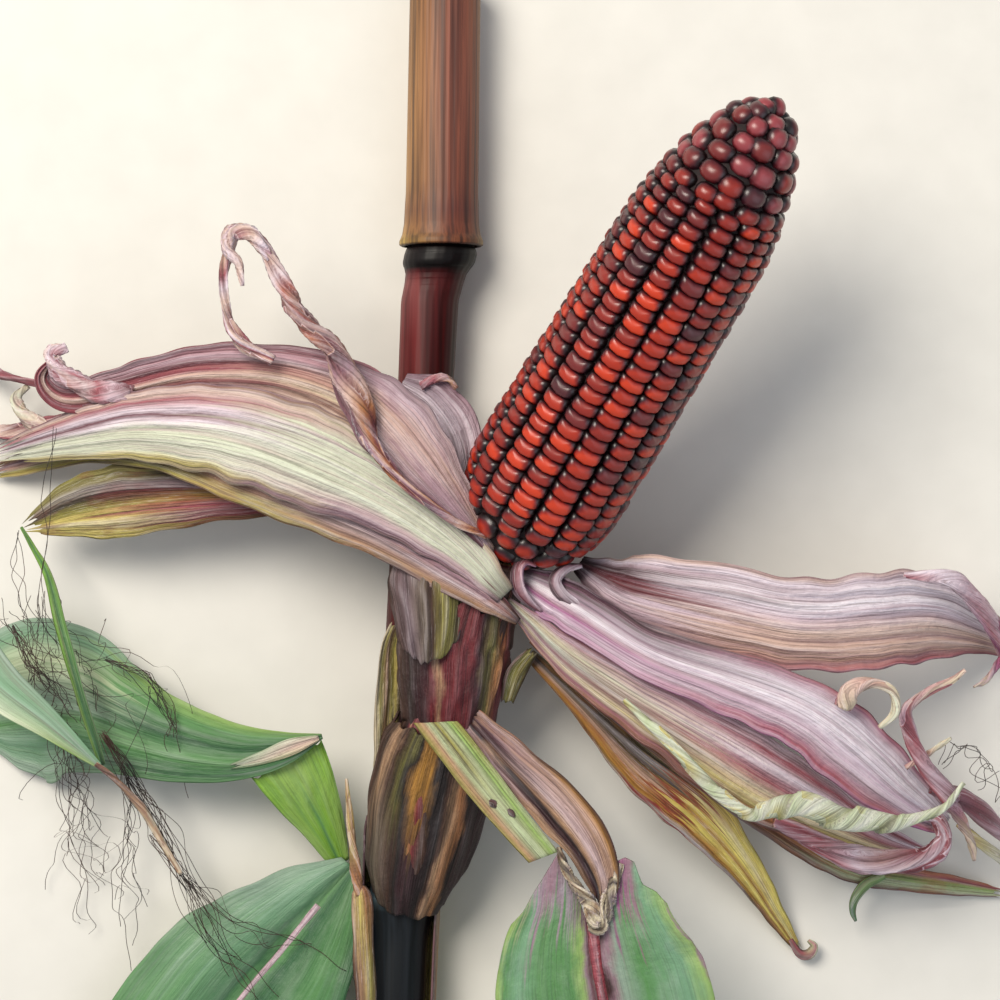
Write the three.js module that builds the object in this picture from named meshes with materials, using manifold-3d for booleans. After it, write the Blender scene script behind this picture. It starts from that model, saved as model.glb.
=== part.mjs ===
// A cut length of a red maize plant, as it lies on its back on a flat surface: the stalk with two nodes,
// one ripe ear with its kernels bare, the ear's shank and the dry husks folded back from it to both
// sides, the leaf that the ear grew behind, and two blades from the node below.
// Millimetres. +X is to the right and +Y towards the top of the plant for someone looking down on it,
// +Z is up from the surface. Heights are measured from that surface.
import * as THREE from "three";
import Module from "manifold-3d";

const wasm = await Module();
wasm.setup();

// Driving dimensions
const HUSK_THICK = 1.8; // dry husk, with the ribs and the puckering that stand in it
const BLADE_THICK = 3; // green blade, with its midrib
const SHEATH_THICK = 1.6; // leaf sheath round the stalk
const CLEAR = 0.35; // gap kept between neighbouring pieces
const STALK_RADIUS = 9; // bare internode
const EAR_LENGTH = 161;
const EAR_RADIUS = 25.6; // over the kernels, a third of the way up
const KERNEL_ROWS = 16;
const KERNELS_IN_A_ROW = 36;
const FIRST_ROW_TURN = 6; // degrees that the rows are turned round the ear's axis
const MIDDLE = [-1, -81.5]; // the middle of the outline seen from above, from the point midway in the photo

const NARROWEST = 0.5; // half width that a sheet never falls below

const UP = new THREE.Vector3(0, 0, 1);
const rad = THREE.MathUtils.degToRad;

// Solids

// A closed mesh from points and triangles, as a solid.
function solidOf(points, triangles) {
  return new wasm.Manifold(
    new wasm.Mesh({
      numProp: 3,
      vertProperties: new Float32Array(points.flatMap((p) => [p.x, p.y, p.z])),
      triVerts: new Uint32Array(triangles.flat()),
    }),
  );
}

function geometryOfSolid(solid) {
  const mesh = solid.getMesh();
  const geometry = new THREE.BufferGeometry();
  geometry.setAttribute("position", new THREE.BufferAttribute(mesh.vertProperties, mesh.numProp));
  geometry.setIndex(new THREE.BufferAttribute(mesh.triVerts, 1));
  geometry.computeVertexNormals();
  return geometry;
}

// The body that is left of a piece once its neighbours, each grown by the gap, are cut out of it.
function clearOf(solid, neighbours) {
  const left = neighbours.reduce((rest, other) => rest.subtract(other), solid);
  const bodies = left.decompose();
  return bodies.reduce((a, b) => (a.volume() > b.volume() ? a : b));
}

// A smooth curve through points, each given as three numbers.
function curveThrough(points) {
  const vectors = points.map((p) => new THREE.Vector3(...p));
  return new THREE.CatmullRomCurve3(vectors, false, "catmullrom", 0.5);
}

// A closed skin over rings that have the same even number of points. The first and the last ring are
// capped by a strip that runs from one point to the one before it, all the way across.
function skin(rings) {
  const n = rings[0].length;
  const triangles = [];
  for (let i = 0; i + 1 < rings.length; i++)
    for (let j = 0; j < n; j++) {
      const [a, b] = [i * n + j, i * n + ((j + 1) % n)];
      triangles.push([a, b, b + n], [a, b + n, a + n]);
    }
  const cap = (first, turned) => {
    for (let j = 0; j + 1 < n / 2; j++) {
      const [a, b, c, d] = [j, j + 1, n - 2 - j, n - 1 - j].map((k) => first + k);
      const strip = [[a, b, c], [a, c, d]];
      strip.forEach(([p, q, r]) => triangles.push(turned ? [p, r, q] : [p, q, r]));
    }
  };
  cap(0, true);
  cap((rings.length - 1) * n, false);
  const solid = solidOf(rings.flat(), triangles);
  return solid.volume() > 0 ? solid : solidOf(rings.flat(), triangles.map(([a, b, c]) => [a, c, b]));
}

// A sheet of leaf or husk. Each station along it, from foot to tip, is
// [x, y, z, half width, roll, bend]. Roll is the turn about the sheet's own line in degrees: at 0 it
// faces up, and more lifts its right edge. Bend is how far each edge turns up out of the flat, or down
// where it is negative, so the section is an arc whose length stays the sheet's width.
function sheet(stations, thickness, grow = 0, along = 10, across = 4) {
  const line = curveThrough(stations.map(([x, y, z]) => [x, y, z]));
  const section = curveThrough(stations.map(([, , , width, roll = 0, bend = 0]) => [width, roll, bend]));
  const shares = Array.from({ length: across + 1 }, (_, j) => (2 * j) / across - 1);
  const half = thickness / 2 + grow;
  const rings = [];
  for (let i = 0; i <= along; i++) {
    const t = i / along;
    const forward = line.getTangent(t);
    const [halfWidth, roll, bend] = section.getPoint(t).toArray();
    const side = forward.clone().cross(UP).normalize().applyAxisAngle(forward, rad(roll));
    const face = side.clone().cross(forward);
    const width = Math.max(halfWidth, NARROWEST) + grow;
    const past = (i === along ? grow : 0) - (i === 0 ? grow : 0);
    const centre = line.getPoint(t).addScaledVector(forward, past);
    const at = (share, off) => {
      const turn = rad(bend) * share;
      const radius = Math.abs(bend) > 1 ? width / rad(bend) : 0;
      const out = radius ? radius * Math.sin(turn) : width * share;
      const lift = radius ? radius * (1 - Math.cos(turn)) : 0;
      return centre
        .clone()
        .addScaledVector(side, out - off * Math.sin(turn))
        .addScaledVector(face, lift + off * Math.cos(turn));
    };
    const over = shares.map((share) => at(share, half));
    const under = shares.map((share) => at(share, -half));
    rings.push([...over, ...under.reverse()]);
  }
  return skin(rings);
}

// A round limb. Each station is [x, y, z, radius].
function limb(stations, grow = 0, along = 10, sides = 14) {
  const line = curveThrough(stations.map(([x, y, z]) => [x, y, z]));
  const radii = curveThrough(stations.map(([, , , radius]) => [radius, 0, 0]));
  const rings = [];
  for (let i = 0; i <= along; i++) {
    const t = i / along;
    const forward = line.getTangent(t);
    const side = forward.clone().cross(UP).normalize();
    const face = side.clone().cross(forward);
    const radius = radii.getPoint(t).x + grow;
    const turns = Array.from({ length: sides }, (_, j) => (2 * Math.PI * j) / sides);
    rings.push(
      turns.map((turn) =>
        line
          .getPoint(t)
          .addScaledVector(side, radius * Math.cos(turn))
          .addScaledVector(face, radius * Math.sin(turn)),
      ),
    );
  }
  return skin(rings);
}

// The stalk

const STALK_FOOT = -169; // where along Y
const STALK_TOP = 163;
const LOWER_NODE = -126;
const UPPER_NODE = 76;
// The stalk's own line, [y, x], almost along Y with a slight bend under the upper node. It rests on the
// lower sheath and on the upper sheath's rim.
const STALK_LINE = [
  [STALK_FOOT, -33],
  [UPPER_NODE - 14, -21.9],
  [UPPER_NODE + 1, -18.4],
  [STALK_TOP, -17],
];

function stalkX(y) {
  const reached = STALK_LINE.findIndex(([at]) => at >= y);
  const next = reached < 0 ? STALK_LINE.length - 1 : Math.max(reached, 1);
  const [from, to] = [STALK_LINE[next - 1], STALK_LINE[next]];
  return THREE.MathUtils.mapLinear(y, from[0], to[0], from[1], to[1]);
}

const stalkZ = (y) => THREE.MathUtils.mapLinear(y, LOWER_NODE, UPPER_NODE, 12.8, 13);

// Rings square to Y, so that both cut ends are flat. Each ring is [y, radius].
function stalkRings(profile, grow = 0, sides = 20) {
  return profile.map(([y, radius]) =>
    Array.from({ length: sides }, (_, j) => {
      const turn = (2 * Math.PI * (j + 0.5)) / sides;
      const r = (radius + grow) / Math.cos(Math.PI / sides);
      return new THREE.Vector3(stalkX(y) + r * Math.cos(turn), y, stalkZ(y) + r * Math.sin(turn));
    }),
  );
}

const STALK_PROFILE = [
  [STALK_FOOT, 8.9],
  [LOWER_NODE - 9, 8.9],
  [LOWER_NODE - 3, 10.2],
  [LOWER_NODE + 3, 10.6],
  [LOWER_NODE + 9, 9.4],
  [-60, STALK_RADIUS - 0.2],
  [20, STALK_RADIUS - 0.6],
  [UPPER_NODE - 14, STALK_RADIUS],
  [UPPER_NODE - 3, 10.8],
  [UPPER_NODE + 1, 11],
  [UPPER_NODE + 5, 9.9],
  [STALK_TOP, 9.6],
];
const stalk = skin(stalkRings(STALK_PROFILE));
const stalkGrown = skin(stalkRings(STALK_PROFILE, CLEAR));

// The leaf sheath that still wraps the stalk above the upper node, with its flared rim at the node.
const upperSheath = skin(
  stalkRings([
    [UPPER_NODE + 3.5, 13],
    [UPPER_NODE + 7, 12.2],
    [UPPER_NODE + 22, 11.6],
    [STALK_TOP - 3, 11.4],
  ]),
).subtract(
  skin(
    stalkRings([
      [UPPER_NODE, 11 + CLEAR],
      [UPPER_NODE + 3, 10.6 + CLEAR],
      [UPPER_NODE + 6, 9.9 + CLEAR],
      [STALK_TOP + 5, 9.7 + CLEAR],
    ]),
  ),
);

// The ear

const EAR_FOOT = new THREE.Vector3(1, -16, 38);
const EAR_TIP = new THREE.Vector3(80, 114.5, 88.7);
const FOOT_CAP = 30; // length of the rounded foot
const TIP_CAP = 56; // length of the rounded tip
const ROW_GROOVE = 1.9; // depth between two rows
const KERNEL_GROOVE = 0.9; // depth between two kernels of a row

// Radius over the kernels at a distance along the ear: a slow taper between two elliptical ends.
function earRadius(at) {
  const body = EAR_RADIUS - 2.6 * Math.min(at / (EAR_LENGTH - TIP_CAP), 1);
  const foot = Math.max(FOOT_CAP - at, 0) / (FOOT_CAP * 1.08);
  const tip = Math.max(at - (EAR_LENGTH - TIP_CAP), 0) / (TIP_CAP * 1.005);
  return body * Math.sqrt(1 - foot * foot) * Math.sqrt(Math.max(1 - tip * tip, 0));
}

// Rings round the ear. Down each row crowns and grooves take turns, and rows that lie side by side are
// half a kernel apart.
function earSkin(grow, grooves) {
  const axis = EAR_TIP.clone().sub(EAR_FOOT).normalize();
  const side = axis.clone().cross(UP).normalize();
  const face = side.clone().cross(axis);
  const count = 2 * KERNELS_IN_A_ROW;
  const rings = [];
  for (let i = 0; i <= count; i++) {
    const at = EAR_LENGTH * (i / count);
    rings.push(
      Array.from({ length: KERNEL_ROWS }, (_, row) =>
        [-0.5, 0].map((share) => {
          const turn = (2 * Math.PI * (row + share)) / KERNEL_ROWS + rad(FIRST_ROW_TURN);
          const ends = Math.min(1, i / 3, (count - i) / 3);
          const between = grooves ? (share ? ROW_GROOVE : KERNEL_GROOVE * ((i + row) % 2)) * ends : 0;
          const r = Math.max(earRadius(at) - between, 2) + grow;
          return EAR_FOOT.clone()
            .addScaledVector(axis, at)
            .addScaledVector(side, r * Math.cos(turn))
            .addScaledVector(face, r * Math.sin(turn));
        }),
      ).flat(),
    );
  }
  return skin(rings);
}
const ear = earSkin(0, true);
const earGrown = earSkin(CLEAR, false);

// The shank and what wraps it

const SHANK = [
  [-30, -124, 22, 5],
  [-26, -108, 29, 8],
  [-22, -86, 33, 10.5],
  [-16, -62, 33, 12],
  [-11, -42, 34, 12.5],
  [-3, -24, 36, 11],
  [0, -17.5, 38, 10],
];

// The husk bases that wrap the shank under the ear, seen as one dark red sleeve open at the back.
const SHANK_WRAP = [
  [-16, -72, 44, 25, 0, -105],
  [-15, -57, 48, 31, 0, -112],
  [-14, -43, 49, 33, 0, -112],
  [-10, -29, 48, 27, 0, -100],
];

// The sheath of the ear's own leaf, from the lower node up over the shank to where it is folded over.
const LEAF_SHEATH = [
  [-29, -129, 25, 22, 0, -118],
  [-27, -117, 33, 31, 0, -115],
  [-23, -97, 41, 35, 0, -112],
  [-19, -80, 47, 32, 0, -104],
  [-17, -70, 49, 25, 0, -92],
];

// The sheath of the leaf below, open towards the top, that cradles the stalk's foot.
const LOWER_SHEATH = [
  [-33.1, -168.5, 0.86, 23, 0, 110],
  [-32, -140, 0.86, 23.5, 0, 112],
  [-31, -122, 0.86, 23, 0, 110],
  [-30.2, -106, 0.86, 20, 0, 95],
  [-31, -96, 1.4, 12, 0, 55],
];

// Sheets, named for what they are. Those nearer the top of the heap come first and keep their shape.
const SHEETS = {
  // The ear's own leaf: two strips of its sheath bent over and down to the collar, and the blade.
  leaf_collar: {
    thick: SHEATH_THICK,
    slot: "pale_husk",
    stations: [
      [20, -104, 60.5, 4],
      [23, -108, 60.5, 9, 0, 10],
      [26.5, -113, 59.5, 12, 0, 14],
      [27.5, -118, 57.5, 10, 0, 14],
    ],
  },
  leaf_strip_green: {
    thick: HUSK_THICK,
    slot: "green_leaf",
    stations: [
      [-19, -67, 51, 5.4],
      [-12, -76, 54, 6, 5],
      [-4, -86, 57.5, 6, 5],
      [4.5, -96, 60, 5.2, 0],
      [12.5, -106, 62, 4.2, 0],
    ],
  },
  leaf_strip_mauve: {
    thick: HUSK_THICK,
    slot: "mauve_husk",
    stations: [
      [-4, -69, 50, 2.8],
      [8, -79.5, 54, 7, 0, 40],
      [19, -92, 59, 8.6, 0, 42],
      [27, -104, 61, 8, 0, 38],
      [31, -112, 60, 5.4, 0, 20],
    ],
  },
  ear_leaf_blade: {
    thick: BLADE_THICK,
    slot: "green_leaf",
    stations: [
      [27, -113, 55.5, 14, 0, 18],
      [27.4, -121, 55, 22, 0, 18],
      [28.3, -134, 54, 29, 0, 14],
      [31, -150, 50, 33, 0, 12],
      [38, -185, 41, 33, 0, 10],
      [50, -225, 28, 29, 0, 10],
      [66, -265, 15, 22, 0, 8],
      [84, -300, 6, 13, 0, 5],
      [98, -325, 1.6, 1.5],
    ],
  },
  // The husks folded back to the left.
  husk_left_rope: {
    thick: HUSK_THICK,
    slot: "mauve_husk",
    along: 26,
    across: 2,
    stations: [
      [-4, -11, 54, 1, 0],
      [-14, -6, 57, 1.2, 10],
      [-27, 3.5, 59.5, 1.4, 20],
      [-37, 15.5, 60, 2.4, 25],
      [-43, 32, 59, 4.2, 30],
      [-50, 45, 58, 3.8, 50],
      [-59, 54, 57, 2.8, 30],
      [-64, 63, 57, 2.5, 0],
      [-70, 75, 57, 2.1, 40],
      [-77.5, 80.5, 56, 1.8, 20],
      [-82, 70, 55, 1.4, 0],
      [-82, 58, 54, 1.5, 40],
      [-78, 48, 53, 2, 10],
      [-68, 41.5, 51.5, 1.5, 0],
    ],
  },
  husk_left_fold: {
    thick: HUSK_THICK,
    slot: "mauve_husk",
    stations: [
      [-2, -16, 50, 1.5, 20],
      [-7, -9, 53, 3.2, 15],
      [-14.5, 1, 55, 6.6, 5, -10],
      [-22.5, 11.5, 56, 10, 0, -15],
      [-31.5, 22.5, 55, 11, 0, -15],
      [-40.5, 31.5, 52, 8.5],
      [-48, 39, 49, 4],
    ],
  },
  husk_left_main: {
    thick: HUSK_THICK,
    slot: "pale_husk",
    stations: [
      [0, -28, 47, 2.6],
      [-11.5, -14.5, 50, 7, 0, -10],
      [-30, -1, 52, 11, 0, -15],
      [-54, 11.4, 52, 15, 0, -18],
      [-81, 20.4, 49, 14.5, 0, -18],
      [-109, 22.7, 41, 11, 0, -15],
      [-135, 19, 27, 7, 0, -10],
      [-163, 13, 2, 2],
    ],
  },
  husk_left_brown: {
    thick: HUSK_THICK,
    slot: "mauve_husk",
    stations: [
      [3, -35, 45, 1.8],
      [-13.6, -22, 47.2, 5.2, -8, -10],
      [-34.7, -10.5, 47.5, 6.6, -8, -10],
      [-57, -1.5, 46, 7.8, -8, -10],
      [-81.4, 7.5, 43, 7.2, -5],
      [-103, 14.6, 35, 6],
      [-125.7, 16.3, 23, 5],
      [-149, 11.5, 8, 3.6],
      [-163, 8, 1.4, 1.6],
    ],
  },
  husk_left_upper: {
    thick: HUSK_THICK,
    slot: "mauve_husk",
    along: 16,
    stations: [
      [-3, -16, 43, 2.2, 20],
      [-18, 5.4, 48, 7.5, 15, -10],
      [-39, 26.5, 47.5, 11.5, 8, -12],
      [-63.4, 37, 46, 9.5, 5, -12],
      [-91, 38.7, 42, 8, 0, -10],
      [-116, 34, 35, 6.5, 0, -10],
      [-133, 31.3, 30, 4.5],
      [-140, 37, 30, 3, 30],
      [-135.6, 44, 31, 1.8, 60],
    ],
  },
  husk_left_tail: {
    thick: HUSK_THICK,
    slot: "mauve_husk",
    stations: [
      [-88, 33, 37, 3],
      [-115, 27.5, 29.5, 3.4],
      [-138, 23.5, 19, 3],
      [-156, 21.5, 8, 2.2, 20],
      [-166, 24, 2, 1.2, 30],
    ],
  },
  husk_left_back: {
    thick: HUSK_THICK,
    slot: "pale_husk",
    stations: [
      [-6, -14, 38, 1.6, 30],
      [-10, 5, 41, 4.4, 30],
      [-13, 19.5, 42, 7.8, 20],
      [-20.5, 30.5, 41, 7, 10],
      [-29.5, 35.8, 39, 3],
    ],
  },
  husk_left_under: {
    thick: HUSK_THICK,
    slot: "yellow_husk",
    stations: [
      [-6, -31, 39, 2],
      [-24, -17, 41, 3],
      [-44, -6, 39, 3.8],
      [-64, 1, 36, 6, -5],
      [-88, 1.5, 31, 8.6, -10],
      [-114.5, 0, 26, 11.4, -10],
      [-133, -3.4, 22, 8.7, -5],
      [-148, -8.8, 18, 1.6],
    ],
  },
  husk_left_flag: {
    thick: HUSK_THICK,
    slot: "green_leaf",
    across: 2,
    stations: [
      [-145, -12, 19.5, 0.9],
      [-139.5, -23.5, 24, 1.3],
      [-134.8, -40, 27, 2.2, 20],
      [-128.5, -61.5, 28.5, 2.2, 40],
      [-122.3, -81.6, 27, 1],
    ],
  },
  // The husks folded back to the right.
  husk_right_spiral: {
    thick: HUSK_THICK,
    slot: "pale_husk",
    across: 2,
    along: 20,
    stations: [
      [40, -62, 56, 1.4, 0],
      [50, -72, 57.5, 2, 0],
      [64, -86.5, 57.5, 2.3, 0],
      [73.5, -93, 57, 2.6, 20],
      [85, -92, 56.5, 3.4, 60],
      [99, -93, 54, 3.6, 60],
      [112, -95.6, 51, 3.2, 60],
      [125, -95.8, 48.5, 1.8, 40],
      [133.5, -91.5, 48, 1.3, 20],
      [139.5, -85, 48, 0.8, 0],
    ],
  },
  husk_right_fold: {
    thick: HUSK_THICK,
    slot: "mauve_husk",
    stations: [
      [124, -19.5, 49, 1.6],
      [135.6, -22.7, 44.5, 2.7, -10],
      [144.7, -30.5, 37, 3, -20],
      [152, -40, 27, 2.8, -20],
      [158, -51, 16, 1.5, -20],
    ],
  },
  husk_right_upper: {
    thick: HUSK_THICK,
    slot: "mauve_husk",
    stations: [
      [24, -19.5, 38, 2.8, -20],
      [31.5, -23.5, 42, 7.2, -15, -8],
      [41.5, -27.4, 45.5, 11.2, -10, -12],
      [64.5, -32.4, 49, 13.5, 0, -14],
      [90, -37.2, 49, 13.8, 0, -14],
      [113.3, -36.5, 42.5, 14.5, 0, -10],
      [133, -36, 31, 13, 0, -8],
      [150, -41, 16, 7.4],
      [164.5, -48, 1.5, 2],
    ],
  },
  husk_right_strand: {
    thick: HUSK_THICK,
    slot: "mauve_husk",
    across: 2,
    along: 16,
    stations: [
      [137, -91.5, 44, 2.6],
      [127.5, -79.5, 49, 2.7, 10],
      [122.7, -70, 52, 2.4, 20],
      [121.4, -62.8, 54.5, 1.8, 30],
      [126.8, -57.6, 56, 1.5, 0],
      [134, -54, 57, 1],
      [138.4, -50.6, 58, 0.7],
    ],
  },
  husk_right_loop: {
    thick: HUSK_THICK,
    slot: "pale_husk",
    across: 2,
    along: 16,
    stations: [
      [102, -61, 53.5, 1],
      [104.8, -55.5, 55, 1.2],
      [111.6, -54, 56, 1.3],
      [117.2, -58.3, 56, 1.3],
      [117.4, -64, 55, 1.2],
      [113, -68.5, 53, 0.9],
    ],
  },
  husk_right_middle: {
    thick: HUSK_THICK,
    slot: "mauve_husk",
    along: 14,
    stations: [
      [6, -23, 44.5, 3],
      [13.5, -27.5, 47.5, 6.4, 0, -14],
      [24, -33.7, 50.2, 7.2, 0, -18],
      [45, -46.4, 53.5, 7.2, 0, -20],
      [68.7, -55, 54, 9, 0, -22],
      [90, -63.5, 52, 10.2, 0, -22],
      [107, -76, 46, 11.2, 0, -18],
      [123.4, -90, 36, 8.3, 0, -12],
      [139, -101, 23, 3],
    ],
  },
  husk_right_curl: {
    thick: HUSK_THICK,
    slot: "mauve_husk",
    across: 2,
    along: 18,
    stations: [
      [83, -97, 42, 1.8, -20],
      [98.6, -105, 38, 3.4, -25],
      [114.5, -110.5, 33, 4, -30],
      [129, -110, 30.5, 3.4, -30],
      [136, -104, 30.5, 2.6, -20],
      [133.5, -97.5, 31, 2, -10],
      [126, -97.5, 30.5, 1.2],
    ],
  },
  husk_right_tip: {
    thick: HUSK_THICK,
    slot: "mauve_husk",
    stations: [
      [131, -87, 40.5, 2.2],
      [141.5, -91.5, 36, 2.8, -10],
      [154, -101.5, 24, 2.8, -15],
      [165.5, -111, 9, 1.4],
    ],
  },
  husk_right_cream: {
    thick: HUSK_THICK,
    slot: "pale_husk",
    across: 2,
    stations: [
      [141, -99.5, 28, 1.3],
      [148, -105.5, 22.5, 1.6],
      [157, -112.5, 15, 1.6],
      [165, -119, 6, 0.9],
    ],
  },
  husk_right_lower: {
    thick: HUSK_THICK,
    slot: "pale_husk",
    stations: [
      [6, -34, 42, 2],
      [19.6, -46.8, 45.5, 5.2, 0, -10],
      [40.6, -60.7, 47.5, 8.2, 0, -12],
      [61.6, -73.6, 47.5, 11.2, 0, -14],
      [80, -85.4, 43.5, 12.4, 0, -14],
      [99, -96, 33.5, 10, 0, -10],
      [117.2, -105.4, 22, 6],
      [133, -111, 13, 2.4],
    ],
  },
  husk_right_hooked: {
    thick: HUSK_THICK,
    slot: "yellow_husk",
    stations: [
      [10, -42, 38.5, 1.8],
      [30.5, -60, 39, 3],
      [61, -83, 35, 4.4],
      [89.5, -103.4, 23.5, 4.6],
      [109, -114.6, 14, 4.4],
      [126.6, -118.8, 8.5, 4],
      [144.3, -121.7, 4.5, 3],
      [162, -124.6, 1.2, 1.2],
    ],
  },
  husk_right_pointed: {
    thick: HUSK_THICK,
    slot: "yellow_husk",
    stations: [
      [9, -47, 35, 1.8],
      [26, -64, 33, 3.8],
      [43, -81.5, 29, 7.2, 0, -8],
      [61.6, -97, 23, 8.3, 0, -8],
      [76, -114, 15, 5.6],
      [86, -129.5, 7, 3.4],
      [94.5, -142.5, 1.4, 1.2],
    ],
  },
  // Small bracts round the shank.
  husk_turned_down: {
    thick: HUSK_THICK,
    slot: "brown_sheath",
    stations: [
      [-22, -17, 44.5, 12.5, 0, -45],
      [-22.3, -23, 49, 13, 0, -52],
      [-22.2, -31, 52.2, 12, 0, -54],
      [-21.6, -41, 52.6, 10, 0, -46],
      [-21.4, -49.5, 51.5, 7.6, 0, -25],
    ],
  },
  bract_dry_left: {
    thick: HUSK_THICK,
    slot: "yellow_husk",
    stations: [
      [-33, -37, 33, 1.6, -30],
      [-36, -46, 31, 2.6, -35],
      [-36.5, -61, 29, 3.7, -40],
      [-37.5, -75, 27, 3.2, -40],
      [-40, -85, 24, 1.5, -40],
    ],
  },
  bract_dry_right: {
    thick: HUSK_THICK,
    slot: "yellow_husk",
    stations: [
      [2, -62, 34, 2.2, 30],
      [5, -52.5, 37, 3.6, 30],
      [10.5, -45, 39.5, 1.6, 20],
    ],
  },
  // The blades that the lower sheath carries.
  lower_leaf_blade: {
    thick: BLADE_THICK,
    slot: "green_leaf",
    stations: [
      [-46, -114, 16.5, 4.5, 0, 10],
      [-57, -126.5, 16, 17, 0, 12],
      [-69, -141.5, 13.7, 26.5, 0, 12],
      [-82.4, -157.7, 11.5, 32, 0, 12],
      [-100, -185, 9, 33, 0, 12],
      [-118, -222, 6.5, 29, 0, 10],
      [-133, -262, 4, 21, 0, 8],
      [-143, -298, 2.5, 11],
      [-148, -322, 1.6, 1.5],
    ],
  },
  arched_leaf_rise: {
    thick: BLADE_THICK,
    slot: "green_leaf",
    stations: [
      [-50, -113, 15, 3.2, 0],
      [-55.5, -99.5, 20.5, 7.4, 0],
      [-61, -88.5, 25, 10.6, 0],
      [-65.8, -79.6, 26.9, 12.3, 0],
    ],
  },
  arched_leaf_fall: {
    thick: BLADE_THICK,
    slot: "green_leaf",
    stations: [
      [-54.5, -72.4, 30.4, 0.8],
      [-66, -76, 30.6, 5.2],
      [-80, -77.5, 28.5, 8.6, 0, -10],
      [-94, -76, 24.5, 11.4, 0, -12],
      [-108, -72.6, 21, 14.2, 0, -12],
      [-122, -67.5, 16, 18.5, 0, -10],
      [-134, -63.5, 12, 24, 0, -8],
      [-147, -63.5, 8, 26, 0, -6],
      [-158, -67, 4.5, 19],
      [-167, -71, 1.6, 5],
    ],
  },
};

// What each finish looks like
const FINISHES = {
  stalk_skin: { color: 0x4a2320, roughness: 0.45 },
  tan_sheath: { color: 0x8a6248, roughness: 0.6 },
  brown_sheath: { color: 0x5b3429, roughness: 0.6 },
  kernel: { color: 0x8c1712, roughness: 0.25 },
  mauve_husk: { color: 0xb08a92, roughness: 0.75 },
  pale_husk: { color: 0xc9c9ae, roughness: 0.75 },
  yellow_husk: { color: 0xa8903f, roughness: 0.7 },
  green_leaf: { color: 0x5d9460, roughness: 0.5 },
};
const materials = Object.fromEntries(
  Object.entries(FINISHES).map(([name, look]) => [
    name,
    new THREE.MeshStandardMaterial({ name, metalness: 0, ...look }),
  ]),
);

const plant = new THREE.Group();
plant.name = "maize_cutting";
plant.position.set(-MIDDLE[0], -MIDDLE[1], 0);

function add(name, solid, slot) {
  const mesh = new THREE.Mesh(geometryOfSolid(solid), materials[slot]);
  mesh.name = name;
  plant.add(mesh);
}

// Each piece is cut clear of the ones before it that reach into its box.
const placed = [];
function place(name, make, slot, grown = make(CLEAR)) {
  const whole = make(0);
  const box = whole.boundingBox();
  const near = placed.filter(({ box: b }) =>
    [0, 1, 2].every((k) => b.min[k] < box.max[k] && b.max[k] > box.min[k]),
  );
  add(name, clearOf(whole, near.map((n) => n.grown)), slot);
  placed.push({ grown, box: grown.boundingBox() });
}

place("stalk", () => stalk, "stalk_skin", stalkGrown);
place("upper_sheath", () => upperSheath, "tan_sheath");
place("ear", () => ear, "kernel", earGrown);
place("ear_shank", (grow) => limb(SHANK, grow), "brown_sheath");
place("shank_wrap", (grow) => sheet(SHANK_WRAP, SHEATH_THICK, grow, 8, 12), "brown_sheath");
place("lower_sheath", (grow) => sheet(LOWER_SHEATH, SHEATH_THICK, grow, 8, 10), "yellow_husk");
place("leaf_sheath", (grow) => sheet(LEAF_SHEATH, SHEATH_THICK, grow, 10, 12), "brown_sheath");
for (const [name, piece] of Object.entries(SHEETS)) {
  place(
    name,
    (grow) => sheet(piece.stations, piece.thick, grow, piece.along ?? 10, piece.across ?? 4),
    piece.slot,
  );
}

export default plant;
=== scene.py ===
# A cut length of red maize lying on its back on a pale floor: the stalk, the ripe ear with bare kernels,
# the dry husks folded back from it, and the leaves of the nodes that show. Every length written here is in
# millimetres on the plant, and becomes metres only where a mesh is made.
import math

import bpy
import numpy as np
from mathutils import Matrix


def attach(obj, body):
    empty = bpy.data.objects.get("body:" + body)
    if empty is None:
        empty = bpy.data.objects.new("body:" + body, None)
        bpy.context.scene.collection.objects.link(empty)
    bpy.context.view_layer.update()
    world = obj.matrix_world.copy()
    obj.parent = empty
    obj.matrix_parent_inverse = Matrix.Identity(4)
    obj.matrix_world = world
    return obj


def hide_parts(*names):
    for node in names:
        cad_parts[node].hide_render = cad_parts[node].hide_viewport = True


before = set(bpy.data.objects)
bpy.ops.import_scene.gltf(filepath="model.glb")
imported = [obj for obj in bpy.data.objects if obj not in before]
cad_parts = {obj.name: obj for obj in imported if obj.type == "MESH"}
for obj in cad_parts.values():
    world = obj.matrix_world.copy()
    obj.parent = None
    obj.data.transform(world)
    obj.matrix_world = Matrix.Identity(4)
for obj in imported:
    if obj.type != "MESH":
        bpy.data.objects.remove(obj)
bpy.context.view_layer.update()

# The floor, the light and the camera.
# A pale matt sweep under the plant, one broad soft lamp as high summer shade gives, from above the ear,
# with a weaker one from the other side, and a camera that looks straight down on the middle of the photo.
MIDDLE = np.array([-1.0, -81.5, 0.0])  # the middle of the outline seen from above, as in the part
CAMERA_HEIGHT = 950.0
VIEW_WIDTH = 300.0  # across the view at a height of VIEW_LEVEL
VIEW_LEVEL = 50.0
SENSOR = 36.0


def metres(points):
    """Points in the plant's own millimetres, moved so that the box's middle is the origin, in metres."""
    return (np.asarray(points, float) - MIDDLE) / 1000.0


def tint(text):
    """An sRGB hex colour as linear red, green, blue and alpha: each channel c is c / 12.92 below 0.04045
    and ((c + 0.055) / 1.055) ** 2.4 above it."""
    c = np.array([int(text[i : i + 2], 16) for i in (1, 3, 5)]) / 255.0
    linear = np.where(c < 0.04045, c / 12.92, ((c + 0.055) / 1.055) ** 2.4)
    return (*linear.tolist(), 1.0)


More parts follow.
